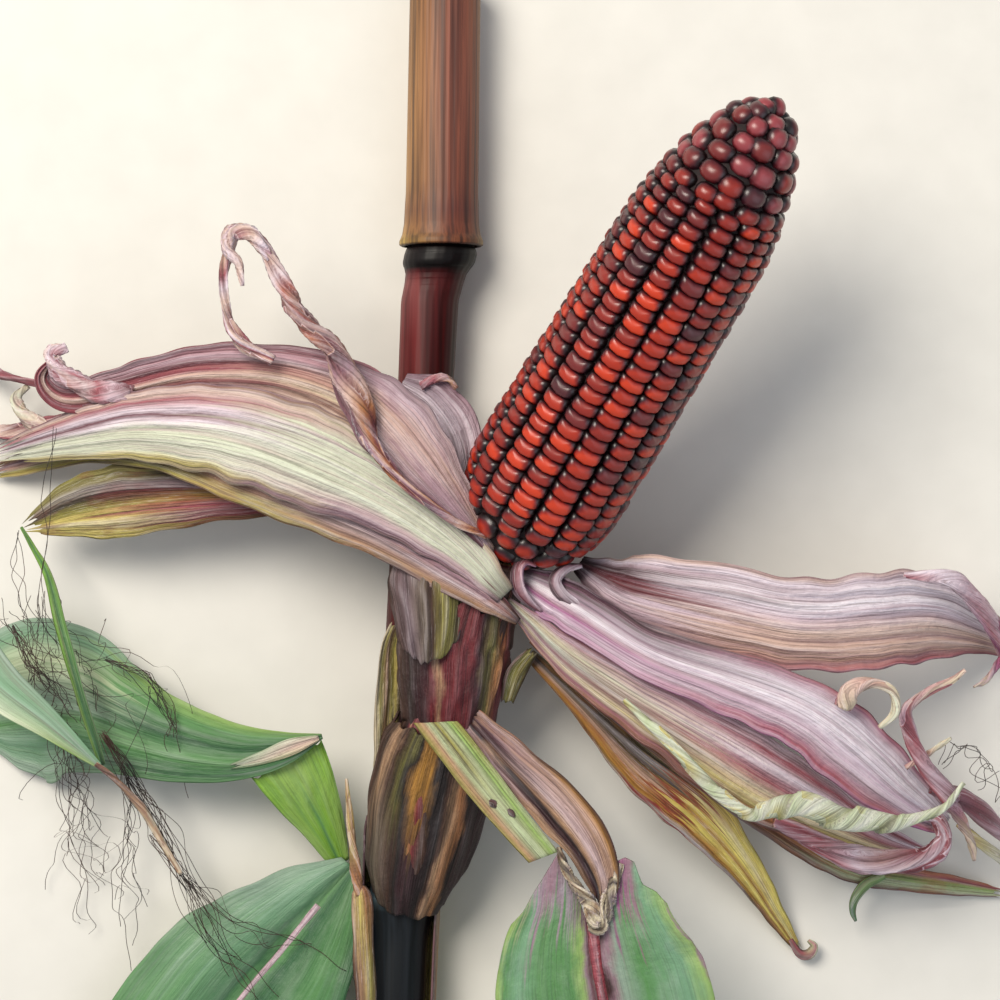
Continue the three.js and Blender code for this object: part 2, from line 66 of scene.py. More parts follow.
def add(tree, kind, links=None, stops=None, **settings):
    """Adds a node, sets its own settings and its sockets, each to a value or to another node's output, and
    where stops are given lays a colour ramp's stops, each a place and a hex colour."""
    made = tree.nodes.new(kind)
    for name, value in settings.items():
        setattr(made, name, value)
    for name, value in (links or {}).items():
        if isinstance(value, bpy.types.NodeSocket):
            tree.links.new(value, made.inputs[name])
        else:
            made.inputs[name].default_value = value
    if stops:
        ramp = made.color_ramp.elements
        while len(ramp) < len(stops):
            ramp.new(1.0)
        for element, (place, colour) in zip(ramp, stops):
            element.position = place
            element.color = tint(colour)
    return made


def blank_finish(name):
    """A material with a principled shader and an output, and its node tree."""
    material = bpy.data.materials.new(name)
    material.use_nodes = True
    tree = material.node_tree
    tree.nodes.clear()
    shader = add(tree, "ShaderNodeBsdfPrincipled")
    add(tree, "ShaderNodeOutputMaterial", {"Surface": shader.outputs[0]})
    return material, tree, shader


def noise(tree, scale, detail):
    """Noise that is fixed to the object, with so many cells to a metre."""
    place = add(tree, "ShaderNodeTexCoord")
    links = {"Vector": place.outputs["Object"], "Scale": scale, "Detail": detail}
    return add(tree, "ShaderNodeTexNoise", links).outputs["Fac"]


def colours(tree, value, stops):
    """The colour that a ramp gives for a value."""
    return add(tree, "ShaderNodeValToRGB", {"Fac": value}, stops=stops).outputs["Color"]


def dress(tree, shader, colour, roughness, ridges=None):
    """Links a colour, and a bump node where there is one, to the shader and sets its roughness."""
    tree.links.new(colour, shader.inputs["Base Color"])
    if ridges:
        tree.links.new(ridges.outputs["Normal"], shader.inputs["Normal"])
    shader.inputs["Roughness"].default_value = roughness


# Matt painted board: almost no gloss and one even pale grey, with a trace of roller mottling.
board_paint, tree, shader = blank_finish("matt_board_paint")
mottle = colours(tree, noise(tree, 60.0, 3.0), [(0.3, "#d9d7d1"), (0.7, "#dedcd6")])
dress(tree, shader, mottle, 0.85)
FLOOR_HALF = 3.0
floor_mesh = bpy.data.meshes.new("floor")
corners = [(x * FLOOR_HALF, y * FLOOR_HALF, 0.0) for x, y in ((-1, -1), (1, -1), (1, 1), (-1, 1))]
floor_mesh.from_pydata(corners, [], [(0, 1, 2, 3)])
floor_mesh.materials.append(board_paint)
floor = bpy.data.objects.new("floor", floor_mesh)
bpy.context.scene.collection.objects.link(floor)

LAMPS = {
    "key_lamp": {"place": (-0.55, 0.65, 1.15), "size": 0.7, "power": 22.0, "colour": "#fff7ea"},
    "fill_lamp": {"place": (0.95, -0.35, 0.9), "size": 1.2, "power": 4.0, "colour": "#eaf1ff"},
}
for name, lamp in LAMPS.items():
    light = bpy.data.lights.new(name, "AREA")
    light.size = lamp["size"]
    light.energy = lamp["power"]
    light.color = tint(lamp["colour"])[:3]
    stand = bpy.data.objects.new(name, light)
    stand.location = lamp["place"]
    aim = np.array(lamp["place"]) / np.linalg.norm(lamp["place"])
    stand.rotation_euler = (math.acos(aim[2]), 0.0, math.atan2(aim[1], aim[0]) + math.pi / 2)
    bpy.context.scene.collection.objects.link(stand)
sky = bpy.data.worlds.new("soft_room")
sky.use_nodes = True
sky.node_tree.nodes["Background"].inputs["Color"].default_value = tint("#eef2f6")
sky.node_tree.nodes["Background"].inputs["Strength"].default_value = 0.45
bpy.context.scene.world = sky
bpy.context.scene.view_settings.view_transform = "Standard"

lens = bpy.data.cameras.new("camera")
lens.sensor_width = SENSOR
lens.lens = SENSOR * (CAMERA_HEIGHT - VIEW_LEVEL) / VIEW_WIDTH
camera = bpy.data.objects.new("camera", lens)
camera.location = metres((0.0, 0.0, CAMERA_HEIGHT))
bpy.context.scene.collection.objects.link(camera)
bpy.context.scene.camera = camera

# The stalk.
# A maize stem cut at both ends: a hard glossy rind round pale pith, with two swollen nodes, dark above the
# lower one and nearly black below it. It lies almost along Y.
STALK_TOP = 163.0
STALK_FOOT = -169.0
UPPER_NODE = 76.0
LOWER_NODE = -126.0
STALK_AXIS_HEIGHT = 12.8  # at the lower node
STALK_RISE = 0.2  # from node to node
STALK_BENDS = [  # y, x
    (STALK_FOOT, -33.0), (UPPER_NODE - 14, -21.9), (UPPER_NODE + 1, -18.4), (STALK_TOP, -17.0),
]
STALK_PROFILE = [  # y, radius
    (-169.0, 8.9), (-136.0, 8.9), (-130.5, 9.6), (-128.0, 10.1), (-125.0, 10.5), (-122.5, 10.2),
    (-121.5, 9.7), (-117.0, 9.4), (-100.0, 9.2), (-60.0, 8.8), (20.0, 8.4), (60.0, 8.9), (67.5, 9.1),
    (70.6, 9.5), (72.4, 10.4), (73.8, 11.2), (77.0, 11.3), (79.0, 10.4), (81.0, 9.9), (163.0, 9.6),
]


def stalk_line(y):
    """The middle of the stalk at each y: x runs evenly from bend to bend, and the height evenly from
    node to node."""
    x = np.interp(y, *zip(*STALK_BENDS))
    z = STALK_AXIS_HEIGHT + (y - LOWER_NODE) / (UPPER_NODE - LOWER_NODE) * STALK_RISE
    return np.stack([x, y, z], axis=-1)


def round_stalk(y, radius, turns):
    """Points at a radius round the stalk's line, square to Y, for each y and each turn."""
    middle = stalk_line(y)[:, None, :]
    ring = np.stack([np.cos(turns), np.zeros_like(turns), np.sin(turns)], axis=-1)
    return middle + np.asarray(radius, float).reshape(len(y), -1, 1) * ring[None]


def grid_faces(rows, columns, closed_rows=False, closed_columns=False):
    """Quads between neighbouring points of a grid that is stored row by row, joined end to end where it
    closes."""
    i = np.arange(rows if closed_rows else rows - 1)[:, None]
    j = np.arange(columns if closed_columns else columns - 1)[None, :]
    i_next, j_next = (i + 1) % rows, (j + 1) % columns
    quads = [i * columns + j, i * columns + j_next, i_next * columns + j_next, i_next * columns + j]
    return np.stack(quads, axis=-1).reshape(-1, 4)


def make_piece(name, points, faces, slots=None, looks=(), maps=None, marks=None):
    """A mesh object at the origin from points in the plant's millimetres and quads or longer faces. slots
    gives each face's material, maps a pair of numbers for each point as a UV map, and marks one number for
    each point as an attribute."""
    mesh = bpy.data.meshes.new(name)
    mesh.from_pydata(metres(points).tolist(), [], [list(f) for f in faces])
    for look in looks:
        mesh.materials.append(look)
    if slots is not None:
        mesh.polygons.foreach_set("material_index", np.asarray(slots, np.int32))
    mesh.polygons.foreach_set("use_smooth", np.ones(len(mesh.polygons), bool))
    corner = np.zeros(len(mesh.loops), np.int32)
    mesh.loops.foreach_get("vertex_index", corner)
    for label, pairs in (maps or {}).items():
        layer = mesh.uv_layers.new(name=label)
        layer.data.foreach_set("uv", np.asarray(pairs, np.float32)[corner].ravel())
    for label, values in (marks or {}).items():
        layer = mesh.attributes.new(label, "FLOAT", "POINT")
        layer.data.foreach_set("value", np.asarray(values, np.float32))
    mesh.update()
    piece = bpy.data.objects.new(name, mesh)
    bpy.context.scene.collection.objects.link(piece)
    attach(piece, "root")
    return piece


def ranged(tree, value, low, high, most=1.0):
    """How far a value lies from low to high, from 0 to the most."""
    links = {"Value": value, "From Min": low, "From Max": high, "To Max": most}
    return add(tree, "ShaderNodeMapRange", links).outputs["Result"]


def reach(tree, spot, axis, low, high):
    """How far a spot lies from one of the plant's own millimetre marks on an axis to another, 0 to 1."""
    middle = MIDDLE["XYZ".index(axis)]
    return ranged(tree, spot.outputs[axis], (low - middle) / 1000, (high - middle) / 1000)


def fibres(tree, place, gap, gaps_long, scale, detail):
    """Noise drawn out along Y into fibres that lie a gap apart and are so many gaps long."""
    links = {"Vector": place.outputs["Object"], "Scale": (1000 / gap, 1000 / (gap * gaps_long), 1000 / gap)}
    stretch = add(tree, "ShaderNodeMapping", links)
    links = {"Vector": stretch.outputs["Vector"], "Scale": scale, "Detail": detail}
    return add(tree, "ShaderNodeTexNoise", links).outputs["Fac"]


def lay_colour(tree, share, under, over, blend="MIX"):
    """One colour laid on another by a share, in a blend mode."""
    links = {0: share, 6: under, 7: over}
    return add(tree, "ShaderNodeMix", links, data_type="RGBA", blend_type=blend).outputs[2]


# Maize rind: a hard waxy skin over fibre strands 1.2 mm apart. It shows dull wine red with darker streaks
# along it, a black glossy band at each node and slate black below the lower node. A pinkish band just below
# the upper node is a painted highlight, a blue-grey line just above the lower node a painted reflection, and
# the right side is painted darker than the left as shade.
RIND_STRAND = 1.2
RIND_SIDES = (-31.0, -11.0)  # its left and right side, along X
# along the stalk: the pinkish stop at 0.712 is a painted highlight below the upper node, the blue-grey stop
# at 0.137 a painted reflection above the lower node
RIND_ZONES = [
    (0.0, "#15191e"), (0.125, "#1a2026"), (0.137, "#5c6f78"), (0.146, "#20242a"), (0.19, "#1c1114"),
    (0.42, "#4a1416"), (0.66, "#682022"), (0.712, "#7c4444"), (0.722, "#582428"), (0.7265, "#0b0709"),
    (0.745, "#150c0f"), (1.0, "#4a2a26"),
]
# painted shade across X: the lit left side stays light and the right side is darkened
RIND_SIDE_SHADE = [
    (0.0, "#ffffff"), (0.3, "#eee0de"), (0.42, "#8c7476"), (0.55, "#b0787a"), (0.8, "#86585c"),
    (1.0, "#8c8484"),
]
stalk_rind, tree, shader = blank_finish("waxy_maize_rind")
place = add(tree, "ShaderNodeTexCoord")
spot = add(tree, "ShaderNodeSeparateXYZ", {"Vector": place.outputs["Object"]})
zone = colours(tree, reach(tree, spot, "Y", STALK_FOOT, STALK_TOP), RIND_ZONES)
strands = fibres(tree, place, RIND_STRAND, 60, 0.5, 3.0)
lighter = colours(tree, strands, [(0.3, "#6d6d6d"), (0.55, "#ffffff"), (0.75, "#ffd9c9")])
darker = colours(tree, reach(tree, spot, "X", *RIND_SIDES), RIND_SIDE_SHADE)
side_shaded = lay_colour(tree, 1.0, zone, darker, "MULTIPLY")
grained = lay_colour(tree, 0.8, side_shaded, lighter, "MULTIPLY")
ridges = add(tree, "ShaderNodeBump", {"Strength": 0.35, "Distance": 0.0003, "Height": strands})
dress(tree, shader, grained, 0.45, ridges)
shader.inputs["IOR"].default_value = 1.33

# Cut pith: dry spongy white tissue, quite matt, with the pores of the strands 1 mm apart showing as dots.
PORE = 1.0
cut_pith, tree, shader = blank_finish("dry_cut_pith")
place = add(tree, "ShaderNodeTexCoord")
pores = add(tree, "ShaderNodeTexVoronoi", {"Vector": place.outputs["Object"], "Scale": 1000 / PORE})
dots = colours(tree, pores.outputs["Distance"], [(0.12, "#8a7046"), (0.3, "#d9cba0"), (0.7, "#e4dab8")])
dress(tree, shader, dots, 0.9)

RIND_ROUND = 72  # points round it
CUT_RINGS = (0.03, 0.45, 0.8, 0.93)  # shares of the radius at the rings across a cut end
stalk_y = np.unique(np.concatenate([np.linspace(STALK_FOOT, STALK_TOP, 170), np.linspace(64, 84, 60)]))
stalk_r = np.interp(stalk_y, *zip(*STALK_PROFILE))
soften = np.ones(5) / 5
stalk_r[2:-2] = np.convolve(stalk_r, soften, "valid")
turns = np.linspace(0, 2 * np.pi, RIND_ROUND, endpoint=False)
strand_relief = 0.07 * np.sin(23 * turns) + 0.05 * np.sin(37 * turns + 1.3)
rind = round_stalk(stalk_y, stalk_r[:, None] + strand_relief[None], turns)
foot = [round_stalk(stalk_y[:1], [stalk_r[0] * share], turns) for share in CUT_RINGS]
top = [round_stalk(stalk_y[-1:], [stalk_r[-1] * share], turns) for share in CUT_RINGS[::-1]]
rows = np.concatenate([*foot, rind, *top])
faces = [*grid_faces(len(rows), RIND_ROUND, closed_columns=True)[:, ::-1]]
faces += [np.arange(RIND_ROUND), np.arange(RIND_ROUND)[::-1] + (len(rows) - 1) * RIND_ROUND]
pith_rows = len(CUT_RINGS) - 1
row_of_face = np.append(np.repeat(np.arange(len(rows) - 1), RIND_ROUND), [0, len(rows) - 2])
is_pith = (row_of_face < pith_rows) | (row_of_face >= len(rows) - 1 - pith_rows)
stalk = make_piece("stalk_rind", rows.reshape(-1, 3), faces, is_pith.astype(int), [stalk_rind, cut_pith])
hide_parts("stalk")

# The leaf sheath that still wraps the stalk above the upper node.
# The tube-like foot of the next leaf up, dry and ribbed, overlapping itself along one seam. It grew out of
# the node, where its thickened foot still stands out as a yellow-green rim, and its upper end is cut.
RIB_COUNT = 34
SEAM_TURN = math.radians(62)  # where its edge shows, from +X towards up
SHEATH_PROFILE = [  # y, radius
    (79.2, 12.5), (79.6, 13.1), (80.8, 13.1), (82.6, 12.3), (86.0, 11.7), (96.0, 11.2), (160.5, 10.9),
]
SHEATH_FOOT, SHEATH_TOP = SHEATH_PROFILE[0][0], SHEATH_PROFILE[-1][0]
SHEATH_WALL = 1.1
SHEATH_SIDES = (-30.0, -6.0)  # its left and right side, along X
VEIN_GAP = 1.2

# Dry maize sheath: papery tissue with raised veins 1.2 mm apart, tan and mauve where the plant's red
# pigment dried in it, turning yellow-green and then purple at the rim. Across it the colour is also painted
# lighter on its lit left side and darker towards the right, as painted light and shade.
SHEATH_ZONES = [
    (0.0, "#8a7c70"), (0.008, "#e2dcac"), (0.022, "#ccc294"), (0.05, "#d8c4ae"), (0.13, "#c8b2b4"),
    (0.25, "#eadcd0"), (0.6, "#f6e8dc"), (1.0, "#eadaca"),
]
# pigment tint and painted side shade across X: lighter on the lit left, darker to the right
SHEATH_TINT_AND_SIDE_SHADE = [
    (0.0, "#d6c69c"), (0.07, "#a48c68"), (0.3, "#967658"), (0.45, "#8a6450"), (0.6, "#88564a"),
    (0.8, "#86564c"), (0.95, "#846052"), (1.0, "#a4947e"),
]
VEIN_TANS = [(0.3, "#4c3a34"), (0.44, "#86776c"), (0.56, "#beae9c"), (0.72, "#7c6660")]
dry_sheath, tree, shader = blank_finish("dry_ribbed_sheath")
place = add(tree, "ShaderNodeTexCoord")
spot = add(tree, "ShaderNodeSeparateXYZ", {"Vector": place.outputs["Object"]})
zone = colours(tree, reach(tree, spot, "Y", SHEATH_FOOT, SHEATH_TOP), SHEATH_ZONES)
tint_and_side_shade = colours(tree, reach(tree, spot, "X", *SHEATH_SIDES), SHEATH_TINT_AND_SIDE_SHADE)
side_shaded = lay_colour(tree, 1.0, zone, tint_and_side_shade, "MULTIPLY")
sheath_veins = fibres(tree, place, VEIN_GAP, 50, 0.7, 4.0)
grained = lay_colour(tree, 0.85, side_shaded, colours(tree, sheath_veins, VEIN_TANS), "OVERLAY")
ridges = add(tree, "ShaderNodeBump", {"Strength": 0.5, "Distance": 0.0004, "Height": sheath_veins})
dress(tree, shader, grained, 0.55, ridges)

SHEATH_ROUND = 180
turns = np.linspace(0, 2 * np.pi, SHEATH_ROUND, endpoint=False)
sheath_y = np.concatenate([np.linspace(SHEATH_FOOT, 90, 30), np.linspace(91, SHEATH_TOP, 60)])
outer_r = np.interp(sheath_y, *zip(*SHEATH_PROFILE))
fade = np.clip((sheath_y - 82) / 10, 0, 1)[:, None]  # the rim at the foot has no ribs
ribs = 0.14 * fade * np.abs(np.sin(RIB_COUNT / 2 * turns))[None]
step_at_seam = 0.45 * fade * np.exp(-((np.mod(turns - SEAM_TURN, 2 * np.pi)) / 0.5))[None]
outer = round_stalk(sheath_y, outer_r[:, None] + ribs + step_at_seam, turns)
inner = round_stalk(sheath_y[::-1], (outer_r - SHEATH_WALL)[::-1], turns)
rows = np.concatenate([outer, inner])
faces = grid_faces(len(rows), SHEATH_ROUND, closed_rows=True, closed_columns=True)[:, ::-1]
upper_sheath = make_piece("upper_sheath_ribbed", rows.reshape(-1, 3), faces, looks=[dry_sheath])
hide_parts("upper_sheath")

# The ear.
# A dark cob that tapers to a round tip, set all over with hard glossy kernels: sixteen rows along most of
# it, two rings of bigger ones at its foot and loose rings of round ones at its tip.
EAR_FOOT = np.array([1.0, -16.0, 38.0])
EAR_TIP = np.array([80.0, 114.5, 88.7])
EAR_LENGTH = 161.0
EAR_RADIUS = 25.6
EAR_TAPER = 2.6
FOOT_CAP = 30.0
TIP_CAP = 56.0
KERNEL_ROWS = 16
ROWS_FROM, ROWS_TO = 12.2, 129.5  # where the rows start and end along the ear
END_RINGS = [  # distance along the ear, kernels in the ring, half a kernel's length
    (2.2, 10, 3.3), (8.4, 14, 4.0), (131.5, 15, 3.0), (137.0, 14, 3.2), (142.9, 12, 3.5), (148.9, 11, 3.5),
    (154.3, 9, 3.5), (158.2, 6, 3.3), (160.6, 3, 3.1),
]
WIDEST_END_KERNEL = 4.9  # half its width
KERNEL_PITCH = 4.25
FIRST_ROW_TURN = math.radians(6)
KERNEL_DEPTH = 3.6  # from a kernel's widest level to its crown
ear_axis = (EAR_TIP - EAR_FOOT) / np.linalg.norm(EAR_TIP - EAR_FOOT)
ear_side = np.cross(ear_axis, (0, 0, 1))
ear_side /= np.linalg.norm(ear_side)
ear_face = np.cross(ear_side, ear_axis)


def ear_radius(at):
    """Radius over the kernels' crowns at a distance along the ear: an even taper between two quarter
    ellipses."""
    at = np.asarray(at, float)
    body = EAR_RADIUS - EAR_TAPER * np.minimum(at / (EAR_LENGTH - TIP_CAP), 1)
    foot = np.maximum(FOOT_CAP - at, 0) / (FOOT_CAP * 1.08)
    tip = np.maximum(at - (EAR_LENGTH - TIP_CAP), 0) / (TIP_CAP * 1.005)
    return body * np.sqrt(1 - foot**2) * np.sqrt(np.maximum(1 - tip**2, 0))


# Cob: dead chaff between the kernels, painted nearly black to stand for the shade deep in the gaps.
gap_shade_chaff, tree, shader = blank_finish("cob_chaff_painted_shade")
specks = colours(tree, noise(tree, 900.0, 2.0), [(0.4, "#0e0507"), (0.7, "#260c10")])
dress(tree, shader, specks, 0.8)

COB_DEPTH = 3.3  # how far the cob's surface lies under the crowns
COB_ROUND = 96
cob_at = np.linspace(1.0, EAR_LENGTH - 3.0, 70)
cob_turns = np.linspace(0, 2 * np.pi, COB_ROUND, endpoint=False)
cob_r = np.maximum(ear_radius(cob_at) - COB_DEPTH, 0.5)
cob_r[0] = cob_r[-1] = 0.02
ring = np.cos(cob_turns)[:, None] * ear_side + np.sin(cob_turns)[:, None] * ear_face
cob_points = EAR_FOOT + cob_at[:, None, None] * ear_axis + cob_r[:, None, None] * ring[None]
faces = grid_faces(len(cob_at), COB_ROUND, closed_columns=True)[:, ::-1]
caps = [np.arange(COB_ROUND), (np.arange(COB_ROUND) + COB_ROUND * (len(cob_at) - 1))[::-1]]
cob = make_piece("ear_cob", cob_points.reshape(-1, 3), [*faces, *caps], looks=[gap_shade_chaff])
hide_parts("ear")


def kernel_seats(rng):
    """Where each kernel sits: its distance along the ear, turn round it, half width across its row, half
    length along it, and 1 where it is round or 0 where its neighbours squared it. Kernels stand a pitch
    apart along a row, and every other row starts half a pitch along. At the ends rings of fewer, rounder
    kernels take over."""
    seats = []
    for row in range(KERNEL_ROWS):
        turn = 2 * np.pi * row / KERNEL_ROWS + FIRST_ROW_TURN
        in_row = round((ROWS_TO - ROWS_FROM) / KERNEL_PITCH) - row % 2 + rng.integers(0, 2)
        sizes = 1 + 0.09 * rng.uniform(-1, 1, in_row)
        starts = ROWS_FROM + (row % 2) * KERNEL_PITCH / 2 + rng.uniform(-0.5, 0.5)
        middles = starts + (ROWS_TO - starts) * (np.cumsum(sizes) - sizes / 2) / sizes.sum()
        pitch = (ROWS_TO - starts) / in_row
        for at, size in zip(middles, sizes):
            width = np.pi * (ear_radius(at) - 0.7) / KERNEL_ROWS * 0.96
            sway = 0.018 * np.sin(at / 17 + row * 1.7)
            seats.append((at, turn + sway, width, pitch / 2 * 1.12 * size, max(0.0, (at - 105) / 30)))
    for at, count, half_length in END_RINGS:
        for k in range(count):
            turn = 2 * np.pi * (k + 0.5 * (count % 2) + 0.13 * rng.uniform(-1, 1)) / count + at
            width = np.pi * max(ear_radius(at) - 0.6, 2.4) / count * rng.uniform(0.95, 1.08)
            width = min(width, WIDEST_END_KERNEL)
            spot = at + rng.uniform(-0.7, 0.7)
            seats.append((spot, turn, width, half_length * rng.uniform(0.92, 1.12), 1.0))
    return np.array(seats)


def maths(tree, operation, *values):
    """The result of one operation on numbers and node outputs."""
    return add(tree, "ShaderNodeMath", dict(enumerate(values)), operation=operation).outputs[0]


# Kernels: hard translucent grain under a thin waxy skin, shiny. Each one is painted orange red at its crown
# as painted light, and wine red to black at its sides and at its end towards the ear's tip as painted shade.
# The colours are dealt out kernel by kernel, and the ones round the ear's tip are dusty pink.
# each a painted shaded side, a body and a painted lit crown
KERNEL_REDS = {  # side, body and crown
    "bright": ("#380d14", "#861a0e", "#be3616"),
    "red": ("#300d17", "#741510", "#a22a14"),
    "deep": ("#280c15", "#5e1112", "#862218"),
    "wine": ("#260c16", "#501218", "#6c2222"),
    "black": ("#1e0c14", "#34101a", "#4a1c22"),
    "dusty": ("#2e1018", "#621c24", "#8a3a40"),
}
BRIGHT, RED, DEEP, WINE, BLACK, DUSTY = range(6)
kernel_looks = []
for label, (shaded_side_red, body_red, lit_crown_red) in KERNEL_REDS.items():
    look, tree, shader = blank_finish(f"waxy_kernel_{label}")
    # the crown attribute carries the painted light and shade of each kernel
    crown = add(tree, "ShaderNodeAttribute", attribute_name="crown").outputs["Fac"]
    cloud = maths(tree, "SUBTRACT", noise(tree, 260.0, 2.0), 0.5)
    level = maths(tree, "MULTIPLY_ADD", cloud, 0.7, crown)
    reds = [(0.0, "#120507"), (0.24, shaded_side_red), (0.54, body_red), (0.84, lit_crown_red)]
    dress(tree, shader, colours(tree, level, reds), 0.36)
    shader.inputs["IOR"].default_value = 1.5
    shader.inputs["Coat Weight"].default_value = 0.2
    shader.inputs["Coat Roughness"].default_value = 0.28
    kernel_looks.append(look)

SHARES_OF_REDS = np.array([0.30, 0.68, 0.90, 0.98, 1.0])  # bright, red, deep, wine and black, summed up
rng = np.random.default_rng(16)
seats = kernel_seats(rng)
count = len(seats)
at, turn, half_width, half_length, roundness = seats.T
kernel_slot = np.searchsorted(SHARES_OF_REDS, rng.random(count))
# Kernels on the ear's lower half are dealt deeper reds as painted shade.
shaded_under_side = (np.sin(turn) < 0.2) & (rng.random(count) < 0.5)
kernel_slot = np.where(shaded_under_side, np.maximum(kernel_slot, rng.integers(DEEP, BLACK, count)), kernel_slot)
upper_part = (at > 90) & (rng.random(count) < (at - 90) / 50)
kernel_slot = np.where(upper_part, np.maximum(kernel_slot, DEEP), kernel_slot)
at_tip = (at > 131) & (rng.random(count) < (at - 122) / 24)
kernel_slot = np.where(at_tip, rng.choice([DUSTY, DUSTY, DUSTY, WINE, DEEP], count), kernel_slot)
left_dark = (np.cos(turn) < -0.3) & (at > 60) & (rng.random(count) < 0.2)
kernel_slot = np.where(left_dark, rng.integers(WINE, DUSTY, count), kernel_slot)
kernel_slot = np.where(at < ROWS_FROM - 0.2, rng.integers(BRIGHT, DEEP, count), kernel_slot)

KERNEL_ROUND = 12
LEVELS = np.radians([-50, -8, 22, 47, 70])  # heights of a kernel's rings, as angles from its widest level
around = np.linspace(0, 2 * np.pi, KERNEL_ROUND, endpoint=False)


def bent_power(value, power):
    """The value's size to a power, with its sign kept, which squares a circle up."""
    return np.sign(value) * np.abs(value) ** power


ring_size = np.cos(LEVELS)[:, None]
square_across = np.append((ring_size**0.45 * bent_power(np.cos(around), 0.45)[None]).ravel(), 0.0)
square_length = np.append((ring_size**0.5 * bent_power(np.sin(around), 0.5)[None]).ravel(), 0.05)
round_across = np.append((ring_size * bent_power(np.cos(around), 0.85)[None]).ravel(), 0.0)
round_length = np.append((ring_size * bent_power(np.sin(around), 0.85)[None]).ravel(), 0.0)
height = np.append(np.repeat(bent_power(np.sin(LEVELS), 0.7), KERNEL_ROUND), 1.0)[None]
blend = roundness[:, None]
across = blend * round_across + (1 - blend) * square_across
lengthwise = blend * round_length + (1 - blend) * square_length
lengthwise = lengthwise + (0.5 - 0.4 * blend) * (across**2 - 0.35)
height = height - 0.16 * np.exp(-(across**2) / 0.12) * np.clip(lengthwise, 0, 1)
normal = np.cos(turn)[:, None] * ear_side + np.sin(turn)[:, None] * ear_face
slope = (ear_radius(np.minimum(at + 0.5, EAR_LENGTH)) - ear_radius(np.maximum(at - 0.5, 0)))[:, None]
slope = np.clip(slope, -3.0, 1.6)
out_way = normal - slope * ear_axis
out_way /= np.linalg.norm(out_way, axis=1, keepdims=True)
side_way = np.cross(ear_axis, normal)
up_way = np.cross(out_way, side_way)
root = EAR_FOOT + at[:, None] * ear_axis + ear_radius(at)[:, None] * normal - KERNEL_DEPTH * out_way
root += out_way * rng.uniform(-0.35, 0.15, count)[:, None]
swing = rng.normal(0, 0.05, count)[:, None]
kernel_points = (
    root[:, None, :]
    + (half_width[:, None] * (across + swing * lengthwise))[..., None] * side_way[:, None, :]
    + (half_length[:, None] * lengthwise)[..., None] * up_way[:, None, :]
    + (KERNEL_DEPTH * height)[..., None] * out_way[:, None, :]
)
per_kernel = kernel_points.shape[1]
wall = grid_faces(len(LEVELS), KERNEL_ROUND, closed_columns=True)
top_ring = (len(LEVELS) - 1) * KERNEL_ROUND
crown_fan = [[top_ring + j, top_ring + (j + 1) % KERNEL_ROUND, per_kernel - 1] for j in range(KERNEL_ROUND)]
one_kernel = [f.tolist() for f in wall] + crown_fan + [list(range(KERNEL_ROUND))[::-1]]
all_faces = [[v + k * per_kernel for v in f] for k in range(count) for f in one_kernel]
slots = np.repeat(kernel_slot, len(one_kernel))
# Painted light and shade on each kernel: lighter at its crown and its end towards the ear's foot, darker at
# its sides and towards the ear's tip.
painted_crown_light = np.clip(height, 0, 1) ** 1.3 - 0.42 * np.clip(lengthwise, -0.6, 1.2) - 0.42 * across**2
marks = {"crown": painted_crown_light.ravel()}
kernels = make_piece("ear_kernels", kernel_points.reshape(-1, 3), all_faces, slots, kernel_looks, marks=marks)
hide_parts("ear")

# The shank, the husk bases round it and its small bracts.
# A short side branch bends out of the lower node and carries the ear. The dry husk bases hug it like a
# sleeve that is open underneath, and one husk is folded down over them. The first leaf tissue is made here:
# thin sheets, ribbed along their fibres, that are bent, rolled and torn.
PAINTS = {
    "white": "#f2ecf4", "green white": "#d3dac2", "pale green": "#b6c49c", "lilac": "#ccb2be",
    "lilac white": "#e4d6e2", "lilac grey": "#a08f9c", "pink grey": "#c6aeb0", "cream": "#dccfae",
    "cream pink": "#dabeb0", "pink tan": "#c8a696", "rose": "#a45660", "magenta": "#9c5486",
    "mauve": "#926e7c", "grey mauve": "#77656c", "wine": "#662a34", "red wine": "#702028",
    "blood red": "#8a1c26", "dark wine": "#38141c", "near black": "#150a0c", "tan": "#b08c6c",
    "orange tan": "#ac7448", "ochre": "#ac7c34", "yellow": "#f2e27c", "straw": "#ccbe6a",
    "light straw": "#dccf84", "olive straw": "#9a9448", "olive": "#68652f", "grey brown": "#6e6254",
    "brown": "#4a3024", "dark brown": "#2a1a17", "leaf": "#588a50", "blue leaf": "#76a07e",
    "grey leaf": "#889f8c", "light leaf": "#8fae5c", "bright leaf": "#7aa82c", "dark leaf": "#2c5a36",
}
# The width and length of each kind of mark.
MARKS = {"vein": (0.62, 45.0), "streak": (1.5, 70.0), "blotch": (8.0, 24.0), "crumple": (3.6, 6.5)}
VEIN_SHADES = [(0.3, "#8f8584"), (0.45, "#e2dcdc"), (0.56, "#ffffff"), (0.72, "#ebe5e2")]


def bands(text):
    """A ramp's stops from words such as "0 wine, 0.5 tan": bands of paint and their places."""
    parts = [part.split(" ", 1) for part in text.split(", ")]
    return [(float(place), PAINTS[paint]) for place, paint in parts]


